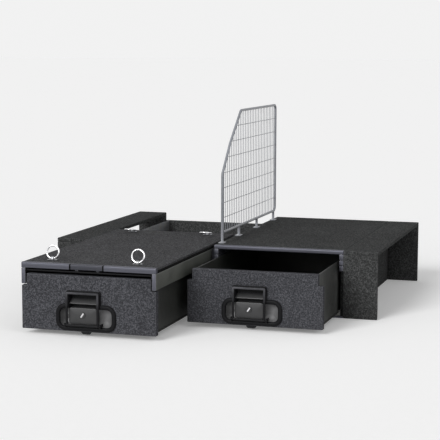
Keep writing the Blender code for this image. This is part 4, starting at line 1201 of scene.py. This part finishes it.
class DRAWERS_OT_lever(bpy.types.Operator):
    """Make the release lever in the roller floor's nosing, with its rubber caps"""
    bl_idname = "drawer_system.lever"
    bl_label = "Release lever"

    def execute(self, context):
        kit = settings().floor
        low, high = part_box("floor_lever")
        nosing_low, nosing_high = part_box("floor_nosing")
        set_back = 0.0005
        outline = nosing_outline(nosing_low.y, high.y - low.y, nosing_low.z + set_back,
                                 nosing_high.z, kit, set_back)
        cap = kit.cap_length
        bm = prism(outline, 'X', low.x + cap, high.x - cap)
        centre = (low.x + high.x) / 2
        arm_place = 0.040
        arm_half = 0.005
        arm_depth = 0.0045
        arm_lap = 0.002
        for side in (-1, 1):
            middle = centre + side * arm_place
            arm = block((middle - arm_half, high.y - arm_depth, low.z),
                        (middle + arm_half, high.y, nosing_low.z + arm_lap))
            join(bm, round_edges(arm, 0.0006))
        add_piece("release_lever", bm, "anodised lever", "floor_latch",
                  ["floor_lever"], 25)
        ends = prism(outline, 'X', low.x, low.x + cap)
        join(ends, prism(outline, 'X', high.x - cap, high.x))
        cap_height = 0.985
        bmesh.ops.scale(ends, vec=(1, 1, cap_height), verts=ends.verts,
                        space=Matrix.Translation(-Vector((centre, high.y, high.z))))
        add_piece("release_lever_caps", ends, "black rubber", "floor_latch",
                  (), 25)
        return {'FINISHED'}


class DRAWERS_OT_rails(bpy.types.Operator):
    """Make the floor's channel rails, the deck's grooved rails and the sills"""
    bl_idname = "drawer_system.rails"
    bl_label = "Rails and sills"

    def execute(self, context):
        kit = settings().floor
        for side in SIDES:
            node = "floor_rail_" + side
            low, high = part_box(node)
            gap = 0.0001
            bm = prism(self.channel_outline(side, low, high, kit), 'Y',
                       low.y + kit.end_cap + gap, high.y)
            add_piece(node + "_channel", bm, "painted channel", "roller_floor",
                      [node])
            outline = rounded_rectangle(low.x, high.x, low.z, high.z, kit.rail_bend, 5)
            cap = prism(outline, 'Y', low.y, low.y + kit.end_cap)
            add_piece(node + "_end_cap", round_edges(cap, 0.0005, least=60),
                      "anodised upright", "roller_floor")
            self.grooved_rail("right_rail_" + side)
        for prefix in DRAWERS:
            node = prefix + "_sill"
            add_piece(node + "_angle", round_edges(solid_copy(node), 0.0004),
                      "anodised nosing", "carcass", [node])
        return {'FINISHED'}

    def channel_outline(self, side, low, high, kit):
        """Folded section of a floor rail, open towards its wheels."""
        sheet = kit.rail_sheet
        bend = kit.rail_bend
        crease = 0.0008
        near = sheet + crease
        width = high.x - low.x
        points = [(width, low.z)]
        points += arc((bend, low.z + bend), bend, 270, 180, 5)
        points += arc((bend, high.z - bend), bend, 180, 90, 5)
        points += [(width, high.z), (width, high.z - sheet)]
        points += arc((near, high.z - near), crease, 90, 180, 3)
        points += arc((near, low.z + near), crease, 180, 270, 3)
        points.append((width, low.z + sheet))
        if side == "outer":
            return [(low.x + x, z) for x, z in points]
        return [(high.x - x, z) for x, z in points]

    def grooved_rail(self, node):
        """Rail of the deck, with its end scored right across at each groove."""
        low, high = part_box(node)
        pitch = (high.z - low.z) / 3
        past = 0.001
        half = 0.0019
        depth = 0.006
        tools = []
        for k in (1, 2):
            middle = low.z + k * pitch
            groove = block((low.x - past, low.y - past, middle - half),
                           (high.x + past, low.y + depth, middle + half))
            tools.append((groove, 'DIFFERENCE'))
        bm = carve(round_edges(solid_copy(node), 0.0005), tools)
        add_piece(node + "_extrusion", bm, "anodised rail", "carcass",
                  [node])


class DRAWERS_OT_rings(bpy.types.Operator):
    """Make the chromed lashing rings and the anchors that hold them"""
    bl_idname = "drawer_system.rings"
    bl_label = "Lashing rings"

    def execute(self, context):
        kit = settings().floor
        for end, lean in zip(ENDS, (kit.front_lean, kit.rear_lean)):
            for side in SIDES:
                name = end + "_" + side
                low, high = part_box("ring_" + name)
                self.make_ring(name, (low + high) / 2, lean, kit)
                self.make_anchor(name, kit)
        return {'FINISHED'}

    def make_ring(self, name, centre, lean, kit):
        """One round ring about its middle, leaning back from upright."""
        up = Vector((0, math.sin(lean), math.cos(lean)))
        across = Vector((1, 0, 0))
        through = across.cross(up)
        rings = []
        for middle in circle(centre, across, up, kit.ring_radius, 56):
            spoke = (middle - centre).normalized()
            rings.append(circle(middle, spoke, through, kit.ring_wire, 16))
        add_piece("lashing_ring_" + name, loft(rings, closed=True), "polished chrome",
                  "ring_" + name + "_body", ["ring_" + name])

    def make_anchor(self, name, kit):
        """One anchor: a dark rounded plate and the plain strap that holds the ring."""
        low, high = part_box("anchor_" + name)
        middle = (low + high) / 2
        outline = rounded_rectangle(low.x, high.x, low.y, high.y, kit.plate_corner, 6)
        plate = prism(outline, 'Z', low.z, low.z + kit.plate_thickness)
        plate = round_edges(plate, 0.0005, least=60)
        bore = kit.ring_wire + kit.ring_play
        reach = bore + kit.saddle_wall
        axis = high.z - reach
        foot = low.z + kit.plate_thickness / 2
        strap = [(middle.y + reach, foot)]
        strap += arc((middle.y, axis), reach, 0, 180, 14)
        strap.append((middle.y - reach, foot))
        near = middle.x - kit.saddle_half
        far = middle.x + kit.saddle_half
        saddle = round_edges(prism(strap, 'X', near, far), 0.0006, least=60)
        past = 0.002
        hole = turned(((bore, near - past), (bore, far + past)), 'X',
                      (0, middle.y, axis), 32)
        plate = carve(plate, [(hole.copy(), 'DIFFERENCE')])
        add_piece("ring_plate_" + name, plate, "black zinc", "roller_floor",
                  ["anchor_" + name])
        saddle = carve(saddle, [(hole, 'DIFFERENCE')])
        add_piece("ring_saddle_" + name, saddle, "zinc plate", "roller_floor")


class DRAWERS_OT_wheels(bpy.types.Operator):
    """Make the nylon wheels under the roller floor and their bearings"""
    bl_idname = "drawer_system.wheels"
    bl_label = "Floor wheels"

    def execute(self, context):
        for end in ENDS:
            for side in SIDES:
                node = "floor_wheel_" + end + "_" + side
                low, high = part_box(node)
                half = (high.x - low.x) / 2
                tyre = self.tyre_side(half, (high.z - low.z) / 2)
                self.make_ring(node, "_tyre", tyre, 56, "wheel nylon", "nylon", [node])
                self.make_ring(node, "_bearing", self.bearing_side(half), 40,
                               "zinc plate", "zinc_steel")
        return {'FINISHED'}

    def tyre_side(self, half, radius):
        """Radii and heights of a tyre's side: its dished web, its rim and its tread."""
        dip = 0.0016
        return [(0.0124, half), (0.0130, half - dip), (0.0195, half - dip),
                (0.0205, half), (radius - 0.0015, half),
                (radius - 0.0004, half - 0.0005), (radius, half - dip)]

    def bearing_side(self, half):
        """Radii and heights of a bearing's side: two races and a sunk shield."""
        face = half - 0.0006
        shield = face - 0.0005
        return [(0.0064, face), (0.0085, face), (0.0088, shield), (0.0108, shield),
                (0.0111, face), (0.0123, face)]

    def make_ring(self, node, ending, side, count, finish, slot, nodes=()):
        """One ring of a wheel, the same on both sides, about the wheel's middle."""
        low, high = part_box(node)
        profile = [(reach, -height) for reach, height in side]
        profile += side[::-1]
        add_piece(node + ending, turned(profile, 'X', (low + high) / 2, count, True),
                  finish, node + "_body", nodes)


class DRAWERS_OT_boxes(bpy.types.Operator):
    """Make each drawer's folded sheet box, with rolled hems, and its back"""
    bl_idname = "drawer_system.boxes"
    bl_label = "Drawer boxes"

    def execute(self, context):
        sheet = 0.002
        bend = 0.0018
        hem = 0.0021
        for prefix in DRAWERS:
            low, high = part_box(prefix + "_drawer_box")
            back_low, back_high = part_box(prefix + "_drawer_back")
            centre = (low.x + high.x) / 2
            lip = (high.x - low.x) / 2
            inner = (back_high.x - back_low.x) / 2 + FIT
            outer = inner + sheet
            floor = low.z + sheet
            side = [(lip, low.z), (lip, floor)]
            side += arc((outer + bend, floor + bend), bend, 270, 180, 4)
            side += arc((inner + sheet / 2, high.z - hem), hem, -60, 240, 12)
            side += arc((inner - bend, floor + bend), bend, 0, -90, 4)
            outline = [(centre + x, z) for x, z in side]
            outline += [(centre - x, z) for x, z in side[::-1]]
            add_piece(prefix + "_folded_box", prism(outline, 'Y', low.y, high.y),
                      "drawer sheet", prefix + "_drawer",
                      [prefix + "_drawer_box"])
            back = round_edges(solid_copy(prefix + "_drawer_back"), 0.0008)
            add_piece(prefix + "_box_back", back, "drawer sheet", prefix + "_drawer",
                      [prefix + "_drawer_back"])
        return {'FINISHED'}


def divider_corners(kit):
    """Corners of the divider's edge rod, as world places along the bay and heights."""
    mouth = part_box("wing_right_top")[0].y
    corners = ((kit.front, kit.bottom), (kit.front, kit.knee_height),
               (kit.shoulder, kit.shoulder_height), (kit.top_start, kit.top),
               (kit.rear, kit.top), (kit.rear, kit.bottom))
    return [Vector((y + mouth, z)) for y, z in corners]


def bent_path(corners, radius, steps):
    """Replace each corner of a closed path by a bend of one radius."""
    bent = []
    for k, corner in enumerate(corners):
        before = (corners[k - 1] - corner).normalized()
        after = (corners[(k + 1) % len(corners)] - corner).normalized()
        half = before.angle(after) / 2
        centre = corner + (before + after).normalized() * radius / math.sin(half)
        first = corner + before * radius / math.tan(half) - centre
        last = corner + after * radius / math.tan(half) - centre
        sweep = first.angle(last)
        for step in range(steps + 1):
            share = step / steps
            bent.append(centre + (first * math.sin((1 - share) * sweep)
                                  + last * math.sin(share * sweep)) / math.sin(sweep))
    return bent


class DRAWERS_OT_divider(bpy.types.Operator):
    """Make the divider's bent edge rod with its posts and feet"""
    bl_idname = "drawer_system.divider"
    bl_label = "Divider frame"

    def execute(self, context):
        kit = settings().divider
        low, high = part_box("divider_frame")
        x = (low.x + high.x) / 2
        path = bent_path(divider_corners(kit), kit.rod_bend, 10)
        across = Vector((1, 0, 0))
        rings = []
        for k, point in enumerate(path):
            ahead = path[(k + 1) % len(path)] - path[k - 1]
            forward = Vector((0, ahead.x, ahead.y)).normalized()
            side = across.cross(forward)
            middle = Vector((x, point.x, point.y))
            rings.append(circle(middle, across, side, kit.rod_radius, 20))
        bm = loft(rings, closed=True)
        places = foot_places(kit)
        for y in places:
            reach = kit.rod_bend if y == places[0] else -kit.rod_radius / 2
            self.add_foot(bm, x, y, low.z, kit.bottom + reach, kit)
        add_piece("divider_rod_and_feet", bm, "coated wire", "carcass",
                  ["divider_frame"], 30)
        return {'FINISHED'}

    def add_foot(self, bm, x, y, deck, head, kit):
        """One foot: a rounded plate, a post up to the rod and a fillet of weld."""
        corner = 0.004
        outline = rounded_rectangle(x - kit.foot_half_width, x + kit.foot_half_width,
                                    y - kit.foot_half_length, y + kit.foot_half_length,
                                    corner, 6)
        plate = prism(outline, 'Z', deck, deck + kit.foot_thickness)
        top = deck + kit.foot_thickness
        post = [(0.0078, top - 0.0005), (0.0074, top + 0.0006), (0.0060, top + 0.0018),
                (0.0052, top + 0.0036), (0.0052, head)]
        plate = round_edges(plate, 0.0007, least=60)
        join(bm, plate, turned(post, 'Z', (x, y, 0), 24))


def foot_places(kit):
    """World places along the bay of the divider's feet."""
    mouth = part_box("wing_right_top")[0].y
    return [mouth + y for y in (kit.front, kit.foot_second, kit.foot_third,
                                kit.foot_fourth)]


def socket_id(tree, label):
    """Return the identifier of a tree's named input."""
    for item in tree.interface.items_tree:
        if item.in_out == 'INPUT' and item.name == label:
            return item.identifier
    raise RuntimeError("the tree has no input named " + label)


def grown_mesh(name, mesh, tree, values):
    """Run a geometry tree on a mesh and return the plain mesh that it makes."""
    holder = put_in_scene(name, mesh)
    modifier = holder.modifiers.new("shape", 'NODES')
    modifier.node_group = tree
    for label, value in values.items():
        modifier[socket_id(tree, label)] = value
    made = evaluated_mesh(holder)
    holder.modifiers.clear()
    discard(holder)
    made.name = name
    return made


def geometry_tree(name, inputs):
    """Start a geometry tree with named inputs."""
    inputs = [("Geometry", 'NodeSocketGeometry', None)] + inputs
    graph, given = make_group(name, 'GeometryNodeTree', inputs,
                              (("Geometry", 'NodeSocketGeometry'),))
    graph.tree.is_modifier = True
    return graph, given


def end_tree(graph, geometry, finish):
    """End a geometry tree: real geometry with its finish."""
    real = graph.add('GeometryNodeRealizeInstances', {0: geometry}).outputs[0]
    dressed = graph.add('GeometryNodeSetMaterial', {'Geometry': real,
                                                    'Material': finish})
    graph.add('NodeGroupOutput', {0: dressed.outputs[0]})
    return graph.tree


def wire_tree():
    """Tree that turns every edge of a mesh into a round wire."""
    graph, given = geometry_tree("net of round wires", [
        ("Wire radius", 'NodeSocketFloat', 0.001), ("Wire sides", 'NodeSocketInt', 8),
        ("Finish", 'NodeSocketMaterial', None)])
    runs = graph.add('GeometryNodeMeshToCurve', {0: given["Geometry"]}).outputs[0]
    ring = graph.add('GeometryNodeCurvePrimitiveCircle', {
        'Resolution': given["Wire sides"], 'Radius': given["Wire radius"]})
    wires = graph.add('GeometryNodeCurveToMesh', {'Curve': runs,
                                                  'Profile Curve': ring.outputs[0],
                                                  'Fill Caps': True}).outputs[0]
    return end_tree(graph, wires, given["Finish"])


def crossing(corners, place, axis):
    """Return where a straight line across a closed outline enters and leaves it."""
    hits = []
    for k, first in enumerate(corners):
        second = corners[(k + 1) % len(corners)]
        if (first[axis] - place) * (second[axis] - place) < 0:
            share = (place - first[axis]) / (second[axis] - first[axis])
            hits.append(first[1 - axis] + (second[1 - axis] - first[1 - axis]) * share)
    return min(hits), max(hits)


class DRAWERS_OT_net(bpy.types.Operator):
    """Make the divider's welded net: upright wires on one side, level on the other"""
    bl_idname = "drawer_system.net"
    bl_label = "Divider net"

    def execute(self, context):
        kit = settings().divider
        low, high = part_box("divider_net")
        x = (low.x + high.x) / 2
        corners = bent_path(divider_corners(kit), kit.rod_bend, 10)
        ys = [corner.x for corner in corners]
        zs = [corner.y for corner in corners]
        offset = kit.wire_radius * 0.9
        points = []
        for axis, start, end, gaps, shift in (
                (0, min(ys), max(ys), kit.columns, -offset),
                (1, min(zs), max(zs), kit.rows, offset)):
            for k in range(1, gaps):
                place = start + (end - start) * k / gaps
                for reach in crossing(corners, place, axis):
                    spot = (place, reach) if axis == 0 else (reach, place)
                    points.append((x + shift, *spot))
        edges = [(k, k + 1) for k in range(0, len(points), 2)]
        mesh = bpy.data.meshes.new("wire runs")
        mesh.from_pydata(points, edges, [])
        made = grown_mesh("divider_net_wires", mesh, wire_tree(), {
            "Wire radius": kit.wire_radius, "Wire sides": kit.wire_sides,
            "Finish": FINISHES["coated wire"]})
        finish_piece("divider_net_wires", made, "coated wire", "carcass",
                     ["divider_net"], 50)
        return {'FINISHED'}


def screw_head(kit):
    """Low round head with a six-sided socket, standing on the origin along +Z."""
    radius = kit.head_radius
    top = kit.head_height
    socket = radius * kit.socket_share
    across = Vector((1, 0, 0))
    other = Vector((0, 1, 0))
    bm = bmesh.new()
    loops = []
    for reach, height, sides in ((radius, 0, 12), (radius, top * 0.5, 12),
                                 (radius * 0.8, top, 12), (socket, top, 6),
                                 (socket, top * 0.3, 6)):
        points = circle(Vector((0, 0, height)), across, other, reach, sides)
        loops.append([bm.verts.new(point) for point in points])
    for first, second in ((0, 1), (1, 2), (3, 4)):
        lower = loops[first]
        upper = loops[second]
        for k, vert in enumerate(lower):
            after = (k + 1) % len(lower)
            bm.faces.new((vert, lower[after], upper[after], upper[k]))
    outer = loops[2]
    inner = loops[3]
    for k in range(6):
        bm.faces.new((outer[2 * k], outer[2 * k + 1], outer[(2 * k + 2) % 12],
                      inner[(k + 1) % 6], inner[k]))
    bm.faces.new(loops[0][::-1])
    bm.faces.new(loops[4])
    bmesh.ops.recalc_face_normals(bm, faces=bm.faces)
    return bm


def screw_tree():
    """Tree that sets a screw head on every point, along the point's facing."""
    graph, given = geometry_tree("screw heads on points", [
        ("Head", 'NodeSocketObject', None), ("Size", 'NodeSocketFloat', 1.0),
        ("Finish", 'NodeSocketMaterial', None)])
    head = graph.add('GeometryNodeObjectInfo', {'Object': given["Head"]})
    facing = graph.add('GeometryNodeInputNamedAttribute', {'Name': FACING_LAYER},
                       data_type='FLOAT_VECTOR').outputs[0]
    turn = graph.add('FunctionNodeAlignRotationToVector', {'Vector': facing},
                     axis='Z').outputs[0]
    heads = graph.add('GeometryNodeInstanceOnPoints', {
        'Points': given["Geometry"], 'Instance': head.outputs['Geometry'],
        'Rotation': turn, 'Scale': given["Size"]}).outputs[0]
    return end_tree(graph, heads, given["Finish"])


def inside(low, high, margin):
    """Return the two places that lie a margin inside a span."""
    return (low + margin, high - margin)


def row(low, high, margin, count):
    """Return evenly spaced places along a span, from one margin to the other."""
    start, end = inside(low, high, margin)
    return [start + (end - start) * k / (count - 1) for k in range(count)]


def screw_places():
    """Return the screws of each body, as pairs of place and facing."""
    places = {"carcass": [], "roller_floor": [], "left_drawer": [], "right_drawer": []}
    up = Vector((0, 0, 1))
    rearward = Vector((0, 1, 0))
    for prefix in DRAWERS:
        low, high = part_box(prefix + "_back")
        rear = high.y - settings().screw.head_height
        for z in inside(low.z, high.z, BACK_MARGIN[1]):
            for x in row(low.x, high.x, BACK_MARGIN[0], 6):
                places["carcass"].append((Vector((x, rear, z)), rearward))
        low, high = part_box(prefix + "_sill")
        y = (low.y + high.y) / 2 - SILL_SHIFT
        for x in row(low.x, high.x, SILL_MARGIN, 4):
            places["carcass"].append((Vector((x, y, high.z)), up))
        low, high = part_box(prefix + "_drawer_back")
        for z in inside(low.z, high.z, BOX_MARGIN[1]):
            for x in inside(low.x, high.x, BOX_MARGIN[0]):
                places[prefix + "_drawer"].append((Vector((x, high.y, z)), rearward))
    for side in SIDES:
        low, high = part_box("left_wheel_plate_" + side)
        facing = Vector((1, 0, 0)) if side == "outer" else Vector((-1, 0, 0))
        x = high.x if side == "outer" else low.x
        z = low.z + WHEEL_PLATE_MARGIN[1]
        for y in row(low.y, high.y, WHEEL_PLATE_MARGIN[0], 6):
            places["carcass"].append((Vector((x, y, z)), facing))
        for end in ENDS:
            low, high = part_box("anchor_" + end + "_" + side)
            middle = (low + high) / 2
            plate = low.z + settings().floor.plate_thickness
            for x in inside(low.x, high.x, ANCHOR_MARGIN):
                places["roller_floor"].append((Vector((x, middle.y, plate)), up))
    kit = settings().divider
    x = middle_of("divider_frame")
    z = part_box("divider_frame")[0].z + kit.foot_thickness
    for middle in foot_places(kit):
        for y in inside(middle - kit.foot_half_length, middle + kit.foot_half_length,
                        FOOT_MARGIN):
            places["carcass"].append((Vector((x, y, z)), up))
    return places


class DRAWERS_OT_screws(bpy.types.Operator):
    """Set the screw heads in the backs, sills, plates, anchors and feet"""
    bl_idname = "drawer_system.screws"
    bl_label = "Screws"

    def execute(self, context):
        kit = settings().screw
        head = put_in_scene("screw head", mesh_of("screw head", screw_head(kit)))
        tree = screw_tree()
        sunk = kit.head_height * kit.sunk_share
        for body, screws in screw_places().items():
            points = [place - facing * sunk for place, facing in screws]
            mesh = bpy.data.meshes.new(body + " screw points")
            mesh.from_pydata(points, [], [])
            layer = mesh.attributes.new(FACING_LAYER, 'FLOAT_VECTOR', 'POINT')
            for item, (place, facing) in zip(layer.data, screws):
                item.vector = facing
            made = grown_mesh(body + "_screws", mesh, tree, {
                "Head": head, "Size": 1.0, "Finish": FINISHES["zinc plate"]})
            finish_piece(body + "_screws", made, "zinc plate", body)
        discard(head)
        return {'FINISHED'}


class DRAWERS_OT_stage(bpy.types.Operator):
    """Set up the pale floor, the lamps and the camera"""
    bl_idname = "drawer_system.stage"
    bl_label = "Stage"

    def execute(self, context):
        kit = settings().stage
        self.make_world(kit)
        self.make_floor(kit)
        self.make_lamp("key lamp", (0.29, 0.86, -0.52), kit.key_strength, 28)
        self.make_lamp("fill lamp", (-0.80, 0.50, -0.35), kit.fill_strength, 60)
        self.make_camera(kit)
        context.scene.view_settings.view_transform = 'Standard'
        return {'FINISHED'}

    def seen_share(self, graph):
        """Return 1 where the backdrop is seen directly, in gloss or through glass."""
        path = graph.add('ShaderNodeLightPath').outputs
        share = graph.maths('MAXIMUM', path['Is Camera Ray'], path['Is Glossy Ray'])
        return graph.maths('MAXIMUM', share, path['Is Transmission Ray'])

    def make_world(self, kit):
        """Even surroundings: pale where they are seen, softer where they light."""
        world = bpy.data.worlds.new("studio surroundings")
        world.use_nodes = True
        world.node_tree.nodes.clear()
        graph = Graph(world.node_tree)
        light, seen = [
            graph.add('ShaderNodeBackground', {'Color': WHITE, 'Strength': level})
            for level in (kit.ambient, kit.background)]
        blend = graph.add('ShaderNodeMixShader', {
            0: self.seen_share(graph), 1: light.outputs[0], 2: seen.outputs[0]})
        graph.add('ShaderNodeOutputWorld', {'Surface': blend.outputs[0]})
        bpy.context.scene.world = world

    def make_floor(self, kit):
        """Pale floor that keeps the object's shadow."""
        floor = put_in_scene("studio floor", self.floor_sheet())
        material = bpy.data.materials.new("pale floor")
        material.use_nodes = True
        material.node_tree.nodes.clear()
        graph = Graph(material.node_tree)
        seen = self.seen_share(graph)
        place = graph.add('ShaderNodeTexCoord').outputs['Object']
        grain = graph.noise(place, 40.0, 3.0)
        grain = graph.spread(grain, 0.3, 0.7, 0.985, 1.015)
        seen_level = 0.96
        seen_glow = 0.175
        level = graph.spread(seen, 0.0, 1.0, kit.floor_level, seen_level)
        shade = graph.grey(graph.times(grain, level))
        matt = graph.add('ShaderNodeBsdfDiffuse', {'Color': shade})
        lift = graph.times(seen, seen_glow)
        glow = graph.add('ShaderNodeEmission', {'Strength': lift})
        both = graph.add('ShaderNodeAddShader', {0: matt.outputs[0],
                                                 1: glow.outputs[0]})
        graph.add('ShaderNodeOutputMaterial', {'Surface': both.outputs[0]})
        floor.data.materials.append(material)

    def floor_sheet(self):
        """A wide flat sheet just under the object."""
        bm = bmesh.new()
        reach = 90.0
        height = -0.0006
        corners = ((-reach, -reach), (reach, -reach), (reach, reach), (-reach, reach))
        bm.faces.new([bm.verts.new((x, y, height)) for x, y in corners])
        return mesh_of("studio floor", bm)

    def make_lamp(self, name, towards, strength, spread):
        """A distant lamp shining along a direction."""
        lamp = bpy.data.lights.new(name, 'SUN')
        lamp.energy = strength
        lamp.angle = math.radians(spread)
        holder = put_in_scene(name, lamp)
        holder.rotation_mode = 'QUATERNION'
        holder.rotation_quaternion = Vector(towards).to_track_quat('-Z', 'Y')

    def make_camera(self, kit):
        """The camera at the photograph's place, aimed at the whole object."""
        flat = math.cos(kit.pitch)
        forward = Vector((math.sin(kit.yaw) * flat, math.cos(kit.yaw) * flat,
                          -math.sin(kit.pitch)))
        right = Vector((math.cos(kit.yaw), -math.sin(kit.yaw), 0))
        up = right.cross(forward)
        across = right * math.cos(kit.roll) + up * math.sin(kit.roll)
        above = up * math.cos(kit.roll) - right * math.sin(kit.roll)
        turn = Matrix((across, above, -forward)).transposed().to_4x4()
        camera = bpy.data.cameras.new("photograph's camera")
        camera.sensor_width = 36.0
        camera.lens = kit.lens
        camera.clip_end = 400.0
        holder = put_in_scene("photograph's camera", camera)
        holder.matrix_world = Matrix.Translation(Vector(kit.camera_place)) @ turn
        bpy.context.scene.camera = holder


OPERATORS = (DRAWERS_OT_finishes, DRAWERS_OT_boards, DRAWERS_OT_faces,
             DRAWERS_OT_mouldings, DRAWERS_OT_bails, DRAWERS_OT_locks,
             DRAWERS_OT_tongues, DRAWERS_OT_nosings, DRAWERS_OT_lever, DRAWERS_OT_rails,
             DRAWERS_OT_rings, DRAWERS_OT_wheels, DRAWERS_OT_boxes, DRAWERS_OT_divider,
             DRAWERS_OT_net, DRAWERS_OT_screws, DRAWERS_OT_stage)


class DRAWERS_PT_panel(bpy.types.Panel):
    """Settings and makers of the drawer system"""
    bl_idname = "DRAWERS_PT_panel"
    bl_label = "Load bay drawers"
    bl_space_type = 'VIEW_3D'
    bl_region_type = 'UI'
    bl_category = "Drawers"

    def draw(self, context):
        kit = context.scene.drawer_system
        for label in ("finish", "board", "handle", "floor", "divider", "screw",
                      "stage"):
            box = self.layout.box()
            box.label(text=label.title())
            group = getattr(kit, label)
            for name in group.bl_rna.properties.keys():
                if name not in {"rna_type", "name"}:
                    box.prop(group, name)
        for operator in OPERATORS:
            self.layout.operator(operator.bl_idname)


CLASSES = (FinishSettings, BoardSettings, HandleSettings, FloorSettings,
           DividerSettings, ScrewSettings, StageSettings, DrawerSystemSettings,
           *OPERATORS, DRAWERS_PT_panel)


def register():
    """Register the classes and keep the settings on the scene."""
    for item in CLASSES:
        bpy.utils.register_class(item)
    bpy.types.Scene.drawer_system = PointerProperty(type=DrawerSystemSettings)


def unregister():
    """Take the settings and classes away again."""
    del bpy.types.Scene.drawer_system
    for item in reversed(CLASSES):
        bpy.utils.unregister_class(item)


def main():
    """Make every piece in order, then the stage."""
    register()
    makers = bpy.ops.drawer_system
    makers.finishes()
    makers.boards()
    makers.faces()
    makers.mouldings()
    makers.bails()
    makers.locks()
    makers.tongues()
    makers.nosings()
    makers.lever()
    makers.rails()
    makers.rings()
    makers.wheels()
    makers.boxes()
    makers.divider()
    makers.net()
    makers.screws()
    makers.stage()


if __name__ == "__main__":
    main()
